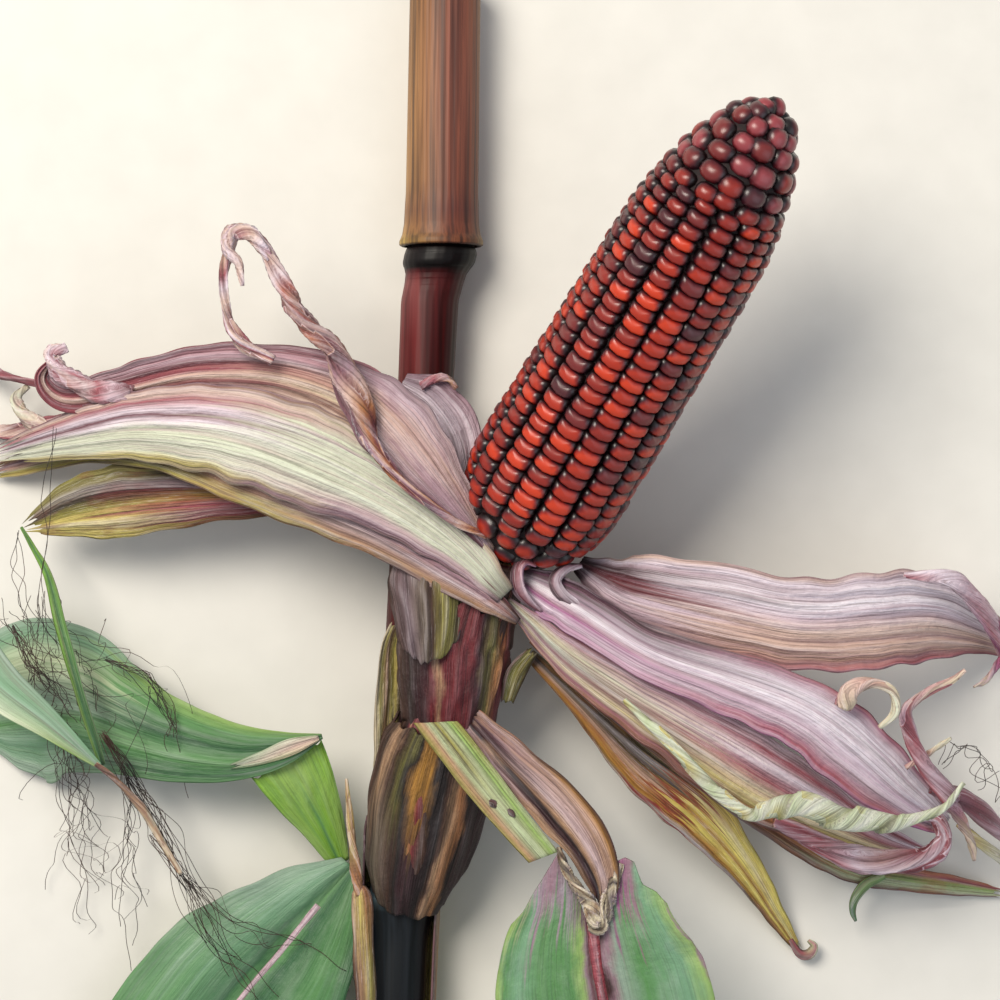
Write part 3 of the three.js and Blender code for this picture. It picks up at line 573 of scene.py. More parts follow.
def leaf_finish(name, foot, tip=None, change=(0.3, 0.7), streak="wine", streaks=0.3, valley="mauve",
                valleys=0.35, crests=0.3, hairs=0.5, veins=0.75, bloom=0.0, stain=("wine", 0.0), edge=0.4,
                shade=0.0, belt=None, gloss=0.62):
    """A material for ribbed leaf tissue. Bands of paint run along the fibres, one set at the foot and one
    at the tip, or one set for both, and change over between two shares of the length. On them lie white on
    the crests of the pleats as a painted highlight, a darker paint in their valleys as painted shade and at
    both edges, streaks, dark and white hairlines where the streak pattern crosses two levels, fine veins, a
    whitish bloom, stains, one belt across and painted shade at the foot."""
    material, tree, shader = blank_finish(name)
    place = add(tree, "ShaderNodeUVMap", uv_map="place")
    fibre = add(tree, "ShaderNodeUVMap", uv_map="fibre")
    marks = {}
    for label, (wide, long) in MARKS.items():
        links = {"Vector": fibre.outputs["UV"], "Scale": (100 / wide, 100 / long, 1.0)}
        stretch = add(tree, "ShaderNodeMapping", links)
        links = {"Vector": stretch.outputs["Vector"], "Scale": 1.0, "Detail": 4.0, "Roughness": 0.6}
        marks[label] = add(tree, "ShaderNodeTexNoise", links, noise_dimensions="2D").outputs["Fac"]
    shares = add(tree, "ShaderNodeSeparateXYZ", {"Vector": place.outputs["UV"]}).outputs
    across = maths(tree, "ADD", shares["X"], maths(tree, "MULTIPLY_ADD", marks["blotch"], 0.12, -0.06))
    along = maths(tree, "ADD", shares["Y"], maths(tree, "MULTIPLY_ADD", marks["streak"], 0.5, -0.25))
    at_foot, at_tip = (colours(tree, across, bands(text)) for text in (foot, tip or foot))
    colour = lay_colour(tree, ranged(tree, along, *change), at_foot, at_tip)

    pleat = add(tree, "ShaderNodeAttribute", attribute_name="pleat").outputs["Fac"]
    dark_line, white_line = (
        maths(tree, "ABSOLUTE", maths(tree, "SUBTRACT", marks["streak"], level)) for level in (0.47, 0.55)
    )
    rim = maths(tree, "ABSOLUTE", maths(tree, "MULTIPLY_ADD", shares["X"], 2.0, -1.0))
    layers = [  # a value, where it starts to show, where it shows in full, the most of it, and its paint
        # white on the pleats' crests is a painted highlight, and the valley paint in their troughs painted
        # shade
        (pleat, 0.1, 1.1, crests, "white"),
        (pleat, 0.0, -1.0, valleys * 0.8, valley),
        (marks["streak"], 0.53, 0.7, streaks, streak),
        (dark_line, 0.014, 0.004, hairs, streak),
        (white_line, 0.014, 0.004, hairs * crests * 1.6, "white"),
        (rim, 0.955, 0.99, edge, valley),
        # painted shade that darkens the foot, where the leaf goes into the dark crotch under the ear
        (shares["Y"], 0.07, 0.0, shade, "dark brown"),
        (marks["blotch"], 0.5, 0.64, stain[1], stain[0]),
    ]
    if belt:
        middle, half, paint = belt
        away = maths(tree, "ABSOLUTE", maths(tree, "SUBTRACT", along, middle))
        layers.append((away, half, half * 0.4, 0.85, paint))
    if bloom:
        layers.append((marks["blotch"], 0.52, 0.34, bloom, "white"))
    for value, none_at, full_at, most, paint in layers:
        amount = ranged(tree, value, none_at, full_at, most)
        colour = lay_colour(tree, amount, colour, tint(PAINTS[paint]))
    veined = lay_colour(tree, veins, colour, colours(tree, marks["vein"], VEIN_SHADES), "MULTIPLY")
    relief = maths(tree, "MULTIPLY_ADD", marks["streak"], 1.6, marks["vein"])
    relief = maths(tree, "MULTIPLY_ADD", marks["crumple"], 2.2, relief)
    links = {"Strength": 0.9 * veins + 0.1, "Distance": 0.0007, "Height": relief}
    dress(tree, shader, veined, gloss, add(tree, "ShaderNodeBump", links))
    return material


def curve(points, shares):
    """Reads a smooth line through points at shares of its run from 0 to 1. Between two points b and c, with
    a before and d after them, it is the cubic b + f/2 (c - a + f (2a - 5b + 4c - d + f (3b - 3c + d - a)))
    at f from b to c. The ends are continued straight on."""
    points = np.asarray(points, float)
    points = np.vstack([2 * points[0] - points[1], points, 2 * points[-1] - points[-2]])
    at = np.clip(shares, 0, 1) * (len(points) - 3)
    low = np.minimum(at.astype(int), len(points) - 4)
    f = (at - low)[..., None]
    a, b, c, d = (points[low + k] for k in range(4))
    return b + f / 2 * (c - a + f * (2 * a - 5 * b + 4 * c - d + f * (3 * (b - c) + d - a)))


def leaf_line(stations, shares):
    """Where the middle of a leaf lies at shares of its run, its side and face directions, half width and
    bend. A station is x, y, z, half width, roll and bend in degrees. The side is square to the run and
    level, then turned about the run by the roll, and the face is square to both."""
    stations = np.array([(*station, 0.0, 0.0)[:6] for station in stations])
    shares = np.clip(shares, 0, 1)
    here = curve(stations, shares)
    forward = curve(stations[:, :3], shares + 1e-3) - curve(stations[:, :3], shares - 1e-3)
    forward /= np.linalg.norm(forward, axis=-1, keepdims=True)
    side = np.cross(forward, (0, 0, 1))
    side /= np.linalg.norm(side, axis=-1, keepdims=True)
    roll = np.radians(here[..., 4:5])
    side = side * np.cos(roll) + np.cross(forward, side) * np.sin(roll)
    half_width, bend = np.maximum(here[..., 3], 0.45), np.radians(here[..., 5])
    return here[..., :3], side, np.cross(side, forward), half_width, bend


def run_length(stations):
    """The length of a leaf's middle line."""
    line = curve([station[:3] for station in stations], np.linspace(0, 1, 60))
    return np.linalg.norm(np.diff(line, axis=0), axis=1).sum()


def ripple(rng, waves, at):
    """A smooth random line about 1 high: four sines, the shortest with so many waves in a unit, each with
    a size and a start of its own."""
    sizes, starts = rng.uniform(0.5, 1.0, 4), rng.random(4)
    wave_shares = (0.35, 0.6, 0.85, 1)
    parts = [s * np.sin(2 * np.pi * (waves * w * at + b)) for s, b, w in zip(sizes, starts, wave_shares)]
    return sum(parts) / 2


def leaf_sheet(stations, rng, pleats=3.0, depth=0.6, torn=(0.01, 0.02), curl=(0.0, 0.0), arch=0.0, ruffle=0.5,
               edge=0.05, wall=0.5, step=(1.4, 0.8), foot_cut=((0, 0),), tip_cut=((0, 0),)):
    """A thin closed skin over a leaf: points, faces, maps and marks. The section is an arc as wide as the
    leaf, turned up by the bend. Off it stand pleats, which are sines across that drift along the leaf,
    edges that curl up with the square of how far out they are, edges that ruffle, and two arches with the
    midrib's groove between them. Both ends are torn to unequal lengths and cut back along a line of points,
    each a share of the half width and a number of stations."""
    length = run_length(stations)
    widest = max(s[3] for s in stations)
    rows, columns = int(length / step[0]) + 8, max(2 * int(widest / step[1]) + 1, 9)
    share = np.linspace(-1, 1, columns)[None]
    t = np.linspace(0, 1, rows)[:, None]
    spans = len(stations) - 1
    foot_tear = torn[0] * (1 + ripple(rng, 3.0, share)) + np.interp(share, *zip(*foot_cut)) / spans
    tip_tear = torn[1] * (1 + ripple(rng, 4.0, share)) + np.interp(share, *zip(*tip_cut)) / spans
    t = foot_tear + t * (1 - foot_tear - tip_tear)
    middle, side, face, width, bend = leaf_line(stations, t)
    uneven = np.where(share < 0, ripple(rng, length / 14, t), ripple(rng, length / 11, t))
    width = width * (1 + edge * uneven * np.abs(share))
    folds = np.zeros_like(width)
    for waves, size in ((pleats, 0.55), (pleats * 1.9, 0.35), (pleats * 3.7, 0.2)):
        start = waves / 2 * share + rng.random()
        folds = folds + size * np.sin(2 * np.pi * (start + 0.3 * ripple(rng, 1.5, t)))
    thin = np.clip(width / widest, 0, 1) ** 0.7
    off = depth * thin * folds
    left_out, right_out = (np.clip(sign * share - 0.7, 0, 1) ** 2 / 0.09 for sign in (-1, 1))
    off += thin * (curl[0] * left_out + curl[1] * right_out)
    ruffled = np.where(share < 0, ripple(rng, length / 30, t), ripple(rng, length / 24, t))
    off += ruffle * thin * np.abs(share) ** 3 * ruffled
    off += arch * thin * (np.abs(np.sin(np.pi * np.abs(share) ** 0.7)) ** 0.8)
    turn = bend * share
    flat = np.abs(bend) < 0.02
    radius = width / np.where(flat, 1.0, bend)
    out = np.where(flat, width * share, radius * np.sin(turn))
    lift = np.where(flat, 0.0, radius * (1 - np.cos(turn)))
    half_wall = wall / 2 * (1 - 0.4 * share**4)
    skins = []
    for sign in (1, -1):
        o = off + sign * half_wall
        along_side, along_face = out - o * np.sin(turn), lift + o * np.cos(turn)
        skins.append(middle + side * along_side[..., None] + face * along_face[..., None])
    points = np.concatenate([skins[0], skins[1][:, ::-1]], axis=1)
    round_it = 2 * columns
    faces = grid_faces(rows, round_it, closed_columns=True)
    strip = np.arange(columns - 1)
    cap = np.stack([strip, strip + 1, round_it - 2 - strip, round_it - 1 - strip], axis=-1)
    faces = np.concatenate([faces, cap[:, ::-1], cap + (rows - 1) * round_it])

    def both(grid):
        """A value of the upper skin's points, laid on the lower skin's too."""
        return np.concatenate([grid, grid[:, ::-1]], axis=1).ravel()

    share = np.broadcast_to(share, t.shape)
    fibre = [both(share * widest / 100 + rng.random()), both(t * length / 100 + rng.random())]
    maps = {"fibre": np.stack(fibre, -1), "place": np.stack([both((share + 1) / 2), both(t)], -1)}
    return points.reshape(-1, 3), faces, maps, {"pleat": both(folds)}


def rolled_leaf(stations, rng, flatness=0.5, folds=3, fold_depth=0.14, twist=0.0, step=0.0, rows_apart=0.9,
                sides=20):
    """A leaf rolled up along its length: points, faces, maps and marks. The section is an ellipse, half
    width by flatness times that, with folds that are sines round it and wind along it by the twist, and a
    step out that climbs evenly once round the section, which is the edge of a wound strip."""
    length = run_length(stations)
    rows = int(length / rows_apart) + 4
    t = np.linspace(0, 1, rows)[:, None]
    turn = np.linspace(0, 2 * np.pi, sides, endpoint=False)[None]
    middle, side, face, width, _ = leaf_line(stations, t)
    wind = turn - 2 * np.pi * twist * t
    groove = np.sin(folds * wind + rng.uniform(0, 6))
    groove = groove + 0.5 * np.sin((2 * folds + 1) * wind + rng.uniform(0, 6))
    size = width * (1 + fold_depth * groove / 1.5 + step * (np.mod(wind / (2 * np.pi), 1) - 0.5))
    size = size * (1 + 0.05 * ripple(rng, length / 12, t))
    tall = np.maximum(size * flatness, 0.45)
    points = middle + side * (size * np.cos(turn))[..., None] + face * (tall * np.sin(turn))[..., None]
    faces = [*grid_faces(rows, sides, closed_columns=True)[:, ::-1], np.arange(sides)]
    faces.append(np.arange(sides)[::-1] + (rows - 1) * sides)
    round_share = np.abs(turn / np.pi - 1) + 0 * t
    wound_share = np.abs(np.mod(wind / np.pi, 2) - 1)
    t = t + 0 * turn
    fibre = [(wound_share * width * 1.5 / 100).ravel(), (t * length / 100).ravel()]
    place = [np.mod(round_share + 0.35 * np.sin(wind), 1).ravel(), t.ravel()]
    maps = {"fibre": np.stack(fibre, -1) + rng.random(), "place": np.stack(place, -1)}
    return points.reshape(-1, 3), faces, maps, {"pleat": (groove / 1.5).ravel()}


# Dry shank sleeve: papery husk bases in stripes of straw, olive, brick red and dark wine, dull and ribbed.
shank_sleeve = leaf_finish(
    "dry_shank_sleeve",
    "0.15 brown, 0.285 dark brown, 0.36 dark wine, 0.405 red wine, 0.44 tan, 0.465 red wine, 0.52 red wine, "
    "0.58 red wine, 0.64 dark wine, 0.695 olive, 0.76 orange tan, 0.81 red wine, 0.9 brown",
    streak="dark brown", streaks=0.5, valley="dark wine", valleys=0.7, crests=0.06,
)
# Hairy folded husk: grey purple and felted with short pale hairs on one half, green gold on the other.
hairy_husk = leaf_finish(
    "hairy_folded_husk",
    "0 brown, 0.1 olive, 0.3 olive straw, 0.42 brown, 0.52 grey brown, 0.75 grey mauve, 1 brown",
    streak="dark brown", streaks=0.6, valley="dark brown", valleys=0.8, crests=0.2, gloss=0.8,
)
# Straw: a dead bract bleached to cream and olive with wine edges.
dry_bract = leaf_finish(
    "dead_straw_bract", "0 wine, 0.2 olive, 0.5 olive straw, 0.62 straw, 0.8 olive, 1 brown",
    streak="brown", streaks=0.4, valley="olive",
)
pale_bract = leaf_finish(
    "dead_beige_bract",
    "0 brown, 0.15 straw, 0.3 olive straw, 0.55 tan, 0.75 olive straw, 0.92 cream, 1 cream",
    streak="brown", streaks=0.5, valley="grey brown",
)

SHANK_LINE = [
    (-30, -124, 22, 5), (-26, -108, 29, 8), (-22, -86, 33, 10.5), (-16, -62, 33, 12), (-11, -42, 34, 12.5),
    (-3, -24, 36, 11), (0, -17.5, 38, 10),
]
rng = np.random.default_rng(7)
points, faces, maps, marks = rolled_leaf(SHANK_LINE, rng, flatness=1.0, folds=7, fold_depth=0.04, sides=36)
shank = make_piece("shank_core", points, faces, looks=[shank_sleeve], maps=maps, marks=marks)
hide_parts("ear_shank")


def lay_leaf(seed, name, slot, look, line, of=None, rolled=False, **shape):
    """Makes one sheet of leaf or husk along its line, or a rolled one where that is said, with random
    numbers of its own, and puts it in the place of the node of its name or the one that it is of."""
    make = rolled_leaf if rolled else leaf_sheet
    points, faces, maps, marks = make(line, np.random.default_rng(seed), **shape)
    piece = make_piece(f"{name}_skin", points, faces, looks=[look], maps=maps, marks=marks)
    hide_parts(of or name)


lay_leaf(
    100, "shank_wrap", "brown_sheath", pleats=9.0, depth=0.9, torn=(0.02, 0.05), wall=0.8, edge=0.02,
    look=shank_sleeve,
    line=[
        (-16, -72, 44, 25, 0, -105), (-15, -57, 48, 31, 0, -112), (-14, -43, 49, 33, 0, -112),
        (-10, -29, 48, 27, 0, -100),
    ],
)
lay_leaf(
    101, "husk_turned_down", "brown_sheath", pleats=4.0, depth=0.5, wall=0.8,
    tip_cut=((-1, 0.8), (-0.6, 0.25), (0, 0), (0.5, 0.1), (1, 0.7)),
    look=hairy_husk,
    line=[
        (-22, -17, 44.5, 12.5, 0, -45), (-22.3, -23, 49, 13, 0, -52), (-22.2, -31, 52.2, 12, 0, -54),
        (-21.6, -41, 52.6, 10, 0, -46), (-21.4, -49.5, 51.5, 7.6, 0, -25),
    ],
)
lay_leaf(
    102, "bract_dry_left", "yellow_husk", pleats=2.0, depth=0.5, curl=(1.5, 0.0), torn=(0.04, 0.06),
    look=pale_bract,
    line=[
        (-31.4, -37, 34.5, 1.8, -30), (-34, -46, 33, 3.4, -35), (-34.8, -61, 31, 4.3, -40),
        (-35.6, -75, 29, 3.8, -40), (-37.4, -86, 26, 1.7, -40),
    ],
)
lay_leaf(
    103, "bract_dry_right", "yellow_husk", pleats=2.0, depth=0.5, torn=(0.03, 0.06),
    look=dry_bract,
    line=[
        (2, -62, 34, 2.2, 30), (5, -52.5, 37, 3.6, 30), (10.5, -45, 39.5, 1.6, 20),
    ],
)

# The husks folded back to the left.
# Seven dry husks grow from the ear's foot, bend away over the stalk and thin out to curled, torn tips. The
# innermost is twisted into a rope, and the outermost is still straw yellow.
# Husk tissue: matt papery leaf, bleached to green white and lilac where it was shaded, with the plant's red
# pigment left in streaks and along the edges.
lay_leaf(
    200, "husk_left_rope", "mauve_husk", rolled=True, flatness=0.6, twist=4.0, fold_depth=0.3,
    look=leaf_finish(
        "twisted_husk",
        "0 dark wine, 0.25 mauve, 0.5 pink tan, 0.7 orange tan, 0.9 wine",
        "0 wine, 0.3 cream pink, 0.5 lilac white, 0.7 rose, 0.9 pink tan",
        valley="wine", valleys=0.9,
    ),
    line=[
        (-4, -11, 54, 1), (-14, -6, 57, 1.2, 10), (-27, 3.5, 59.5, 1.4, 20), (-37, 15.5, 60, 2.4, 25),
        (-43, 32, 59, 4.2, 30), (-50, 45, 58, 3.8, 50), (-59, 54, 57, 2.8, 30), (-64, 63, 57, 2.5),
        (-70, 75, 57, 2.1, 40), (-77.5, 80.5, 56, 1.8, 20), (-82, 70, 55, 1.4), (-82, 58, 54, 1.5, 40),
        (-78, 48, 53, 2, 10), (-68, 41.5, 51.5, 1.5),
    ],
)
lay_leaf(
    201, "husk_left_fold", "mauve_husk", pleats=3.5, depth=0.45, curl=(1.6, 0.0), torn=(0.0, 0.02),
    ruffle=0.3,
    look=leaf_finish(
        "mauve_folded_husk",
        "0 dark wine, 0.1 wine, 0.2 mauve, 0.4 lilac, 0.75 pink tan, 1 pink grey",
        "0 dark wine, 0.08 wine, 0.16 pink grey, 0.6 pink tan, 0.8 lilac, 1 grey mauve",
        streak="grey mauve", stain=("mauve", 0.5), shade=0.8,
    ),
    line=[
        (-2, -16, 50, 1.5, 20), (-7, -9, 53, 3.2, 15), (-14.5, 1, 55, 6.6, 5, -10),
        (-22.5, 11.5, 56, 10, 0, -15), (-31.5, 22.5, 55, 11, 0, -15), (-40.5, 31.5, 52, 8.5),
        (-48, 39, 49, 4),
    ],
)
lay_leaf(
    202, "husk_left_main", "pale_husk", pleats=5.0, depth=0.7, torn=(0.0, 0.05), ruffle=0.8,
    look=leaf_finish(
        "bleached_green_husk",
        "0 brown, 0.08 mauve, 0.18 pink grey, 0.28 green white, 0.8 green white, 1 tan",
        "0 olive straw, 0.08 straw, 0.16 green white, 0.45 green white, 0.56 lilac white, 0.63 wine, "
        "0.68 lilac white, 0.82 rose, 0.9 cream pink, 1 wine",
        change=(0.38, 0.62), streak="pink grey", streaks=0.5, valley="lilac grey", valleys=0.5, hairs=0.25,
        veins=0.65, shade=0.7,
    ),
    line=[
        (1.5, -28.5, 52.5, 3.4), (-11.5, -14.8, 52, 7.4, 0, -10), (-30, -1, 52, 11, 0, -15),
        (-54, 11.4, 52, 15, 0, -18), (-81, 20.4, 49, 14.5, 0, -18), (-109, 22.7, 41, 11, 0, -15),
        (-135, 19, 27, 7, 0, -10), (-163, 13, 2, 2),
    ],
)
lay_leaf(
    203, "husk_left_brown", "mauve_husk", depth=0.5, curl=(0.8, 0.6), torn=(0.0, 0.04),
    look=leaf_finish(
        "brown_edged_husk",
        "0 brown, 0.15 tan, 0.35 pink grey, 0.55 mauve, 0.7 pink grey, 0.86 brown, 1 wine",
        "0 straw, 0.25 olive straw, 0.4 pink tan, 0.65 mauve, 0.85 olive, 1 wine",
        change=(0.35, 0.6), streaks=0.7, streak="grey mauve", valley="wine", valleys=0.5,
        stain=("orange tan", 0.3), shade=0.9,
    ),
    line=[
        (5.5, -36.5, 50.5, 1.2), (-2.5, -30.5, 52, 3.6, -5, -10), (-14.5, -22.8, 51, 5.6, -8, -10),
        (-34.7, -11, 48.5, 6.8, -8, -10), (-57, -1.5, 46, 7.8, -8, -10), (-81.4, 7.5, 43, 7.2, -5),
        (-103, 14.6, 35, 6), (-125.7, 16.3, 23, 5), (-149, 11.5, 8, 3.6), (-163, 8, 1.4, 1.6),
    ],
)
lay_leaf(
    204, "husk_left_upper", "mauve_husk", pleats=4.0, depth=0.9, curl=(0.6, 0.8), torn=(0.0, 0.04),
    ruffle=0.9,
    look=leaf_finish(
        "streaked_pink_husk",
        "0 rose, 0.14 cream pink, 0.4 cream, 0.62 cream pink, 0.76 lilac, 0.9 rose, 1 mauve",
        "0 wine, 0.14 rose, 0.28 wine, 0.42 cream pink, 0.55 rose, 0.68 wine, 0.82 lilac, 1 wine",
        change=(0.15, 0.5), streaks=0.75, valley="rose", valleys=0.6, shade=0.6,
    ),
    line=[
        (-3, -16, 43, 2.2, 20), (-18, 5.4, 48, 7.5, 15, -10), (-39, 26.5, 47.5, 11.5, 8, -12),
        (-63.4, 37, 46, 9.5, 5, -12), (-91, 38.7, 42, 8, 0, -10), (-116, 34, 35, 6.5, 0, -10),
        (-133, 31.3, 30, 4.5), (-140, 37, 30, 3, 30), (-135.6, 44, 31, 1.8, 60),
    ],
)
lay_leaf(
    205, "husk_left_tail", "mauve_husk", rolled=True, flatness=0.4, twist=1.5, fold_depth=0.2,
    look=leaf_finish(
        "wine_husk_tail",
        "0 wine, 0.4 rose, 0.7 lilac, 1 wine",
        "0 dark wine, 0.3 rose, 0.6 cream pink, 1 wine",
        streaks=0.6,
    ),
    line=[
        (-88, 33, 37, 3), (-115, 27.5, 29.5, 3.4), (-138, 23.5, 19, 3), (-156, 21.5, 8, 2.2, 20),
        (-166, 24, 2, 1.2, 30),
    ],
)
lay_leaf(
    206, "husk_left_back", "pale_husk", depth=0.9, torn=(0.0, 0.0), curl=(0.0, 1.4),
    look=leaf_finish(
        "lilac_white_husk",
        "0 lilac grey, 0.2 grey mauve, 0.3 lilac white, 0.8 lilac white, 1 lilac",
        "0 lilac, 0.35 lilac white, 0.6 lilac grey, 1 mauve",
        streak="lilac grey", valley="grey mauve", valleys=0.6, shade=0.8,
    ),
    line=[
        (-6, -14, 38, 1.6, 30), (-10, 5, 41, 4.4, 30), (-13, 19.5, 42, 7.8, 20), (-20.5, 30.5, 41, 7, 10),
        (-29.5, 35.8, 39, 3),
    ],
)
lay_leaf(
    207, "husk_left_under", "yellow_husk", pleats=2.0, depth=0.7, torn=(0.0, 0.03), ruffle=0.7,
    look=leaf_finish(
        "straw_yellow_husk",
        # The dark brown band along its fold is painted shade.
        "0 red wine, 0.22 red wine, 0.36 rose, 0.5 ochre, 0.64 wine, 0.8 dark brown, 1 brown",
        "0 straw, 0.35 straw, 0.5 olive straw, 0.6 dark brown, 0.68 grey brown, 1 olive straw",
        change=(0.6, 0.78), streak="brown", streaks=0.4, valley="olive", valleys=0.5,
        stain=("red wine", 0.45), shade=0.8,
    ),
    line=[
        (-6, -31, 39, 2), (-24, -17, 41, 3), (-44, -6, 39, 3.8), (-64, 1, 36, 6, -5),
        (-88, 1.5, 31, 8.6, -10), (-114.5, 0, 26, 11.4, -10), (-133, -3.4, 22, 8.7, -5),
        (-148, -8.8, 18, 1.6),
    ],
)
lay_leaf(
    208, "husk_left_back_curl", "mauve_husk", of="husk_left_back", rolled=True, twist=0.8, folds=2,
    fold_depth=0.3, sides=12,
    look=leaf_finish(
        "dry_lilac_curl",
        "0 lilac white, 0.5 rose, 1 mauve",
        "0 mauve, 0.5 tan, 1 brown",
        valleys=0.7,
    ),
    line=[
        (-24, 34.6, 41.5, 1.6), (-19.4, 36.8, 42.6, 1.2), (-15.6, 36.6, 43.4, 1.1),
        (-13.2, 33.6, 43.6, 0.7),
    ],
)
lay_leaf(
    209, "husk_left_rope_fray", "mauve_husk", of="husk_left_rope", rolled=True, twist=1.5, fold_depth=0.3,
    sides=14,
    look=leaf_finish(
        "frayed_rope_top",
        "0 rose, 0.4 cream pink, 0.7 lilac white, 1 rose",
        "0 lilac white, 0.5 cream pink, 1 lilac white",
        valley="wine", valleys=0.7,
    ),
    line=[
        (-68.5, 71.6, 58, 1.2), (-73.4, 78.4, 59, 2.2), (-79.4, 79.6, 58.8, 2.2), (-81.2, 75, 59, 1.7),
        (-77.6, 70, 59.4, 1.3), (-76.6, 63.6, 58.6, 0.6),
    ],
)
lay_leaf(
    210, "husk_left_upper_fray", "mauve_husk", of="husk_left_upper", rolled=True, twist=1.2, fold_depth=0.3,
    sides=14,
    look=leaf_finish(
        "frayed_rose_end",
        "0 rose, 0.3 pink grey, 0.5 rose, 0.7 lilac, 1 wine",
        "0 cream pink, 0.5 lilac white, 1 rose",
        valley="wine", valleys=0.7,
    ),
    line=[
        (-112, 31.5, 37.5, 3.6), (-124, 33.6, 34.5, 3.2), (-133.4, 38.4, 33, 2.8), (-137.2, 44.4, 33, 2.2),
        (-132.4, 46.8, 33.5, 1.4),
    ],
)
lay_leaf(
    211, "husk_left_tail_fray", "pale_husk", of="husk_left_tail", rolled=True, flatness=0.45, twist=1.5,
    folds=2, fold_depth=0.3, sides=12,
    look=leaf_finish(
        "frayed_cream_end",
        "0 rose, 0.5 cream pink, 1 wine",
        "0 cream, 0.5 green white, 1 cream pink",
        valleys=0.7,
    ),
    line=[
        (-126, 22.2, 25.5, 1.4), (-137, 20.6, 22, 2.2), (-147, 25.6, 17.5, 2.4), (-150.5, 31.5, 16.5, 1.7),
        (-146.6, 35.5, 17.5, 0.9),
    ],
)
lay_leaf(
    212, "husk_left_tail_thread", "mauve_husk", of="husk_left_tail", rolled=True, flatness=0.6, twist=1.0,
    folds=2, fold_depth=0.3, sides=10,
    look=leaf_finish(
        "wine_husk_thread",
        "0 wine, 1 rose",
        "0 rose, 1 dark wine",
    ),
    line=[
        (-128, 33.6, 31.5, 1.3), (-143, 36, 22, 1.1), (-154, 38.6, 14, 1.4), (-163, 41.4, 7.5, 1.6),
        (-168, 38.4, 4.5, 0.8),
    ],
)

# The husks folded back to the right.
# Three broad pleated husks, the widest uppermost, with narrow ones under them. Their edges and tips have
# dried into a wound ribbon, a rolled curl, a loop and frayed straps.
lay_leaf(
    300, "husk_right_spiral", "pale_husk", rolled=True, flatness=0.62, twist=7.0, folds=1, fold_depth=0.0,
    step=0.36, rows_apart=0.5,
    look=leaf_finish(
        "wound_green_ribbon",
        "0 green white, 0.3 pale green, 0.6 green white, 1 straw",
        "0 pale green, 0.5 green white, 1 pale green",
        streak="lilac grey", valley="olive", valleys=0.7,
    ),
    line=[
        (37, -59.5, 55.5, 0.8), (50, -72, 57.5, 1.7), (64, -86.5, 57.5, 2.0), (73.5, -93.2, 57.5, 1.9),
        (79.5, -92.4, 57.5, 2.8), (89, -90.6, 56.5, 3.7), (101, -94.6, 54.5, 3.8), (112, -96.2, 52, 3.4),
        (122, -96.4, 49.5, 2.0), (133.5, -92.3, 48, 1.2), (139.5, -85, 48, 0.7),
    ],
)
lay_leaf(
    301, "husk_right_fold", "mauve_husk", rolled=True, twist=0.7, fold_depth=0.16,
    look=leaf_finish(
        "pink_husk_fold",
        "0 cream pink, 0.3 lilac, 0.7 lilac white, 1 rose",
        "0 lilac, 0.4 rose, 0.8 magenta, 1 wine",
    ),
    line=[
        (121.5, -22.4, 47, 0.8), (135.6, -23.8, 44.5, 2.6, -10), (144.7, -30.5, 37, 3, -20),
        (152, -40, 27, 2.8, -20), (158, -51, 16, 1.5, -20),
    ],
)
lay_leaf(
    302, "husk_right_upper", "mauve_husk", pleats=4.5, depth=1.1, torn=(0.0, 0.03), curl=(0.8, 0.5),
    ruffle=0.9,
    look=leaf_finish(
        "broad_lilac_husk",
        # Dark wine at its lower edge near the foot is a painted shadow along that edge.
        "0 cream pink, 0.1 lilac white, 0.2 grey mauve, 0.3 dark wine, 0.44 red wine, 0.54 wine, "
        "0.62 lilac white, 0.76 lilac, 0.88 grey mauve, 1 dark wine",
        "0 cream pink, 0.1 lilac white, 0.28 white, 0.42 lilac white, 0.6 cream pink, 0.85 pink tan, "
        "1 rose",
        change=(0.24, 0.4), streak="mauve", streaks=0.6, valleys=0.55, hairs=0.35, shade=0.9,
    ),
    line=[
        (24, -19.5, 38, 2.8, -20), (31.5, -23.5, 42, 7.2, -15, -8), (41.5, -27.4, 45.5, 11.2, -10, -12),
        (64.5, -32.4, 49, 13.5, 0, -14), (90, -37.2, 49, 13.8, 0, -14), (113.3, -36.5, 42.5, 14.5, 0, -10),
        (133, -36, 31, 13, 0, -8), (150, -41, 16, 7.4), (164.5, -48, 1.5, 2),
    ],
)
lay_leaf(
    303, "husk_right_strand", "mauve_husk", rolled=True, twist=1.2, folds=2, fold_depth=0.25,
    look=leaf_finish(
        "frayed_pink_strand",
        "0 wine, 0.4 rose, 0.7 lilac, 1 mauve",
        "0 rose, 0.5 cream pink, 1 cream",
        change=(0.45, 0.8), streaks=0.5,
    ),
    line=[
        (137, -91.5, 44, 2.6), (127.5, -79.5, 49, 2.7, 10), (122.7, -70, 52, 2.4, 20),
        (121.4, -62.8, 54.5, 1.8, 30), (126.8, -57.6, 56, 1.5), (134, -54, 57, 1), (138.4, -50.6, 58, 0.7),
    ],
)
lay_leaf(
    304, "husk_right_loop", "pale_husk", rolled=True, flatness=0.7, twist=1.0, fold_depth=0.2,
    look=leaf_finish(
        "pale_husk_loop",
        "0 rose, 0.5 cream pink, 1 cream",
        "0 cream, 0.5 green white, 1 cream",
    ),
    line=[
        (102.5, -62, 53.5, 2.6), (104.6, -57, 55, 2.8), (110.5, -54.4, 56, 1.6), (116.8, -57, 56, 1.4),
        (118, -63, 55, 1.3), (113.5, -68, 53, 0.8),
    ],
)
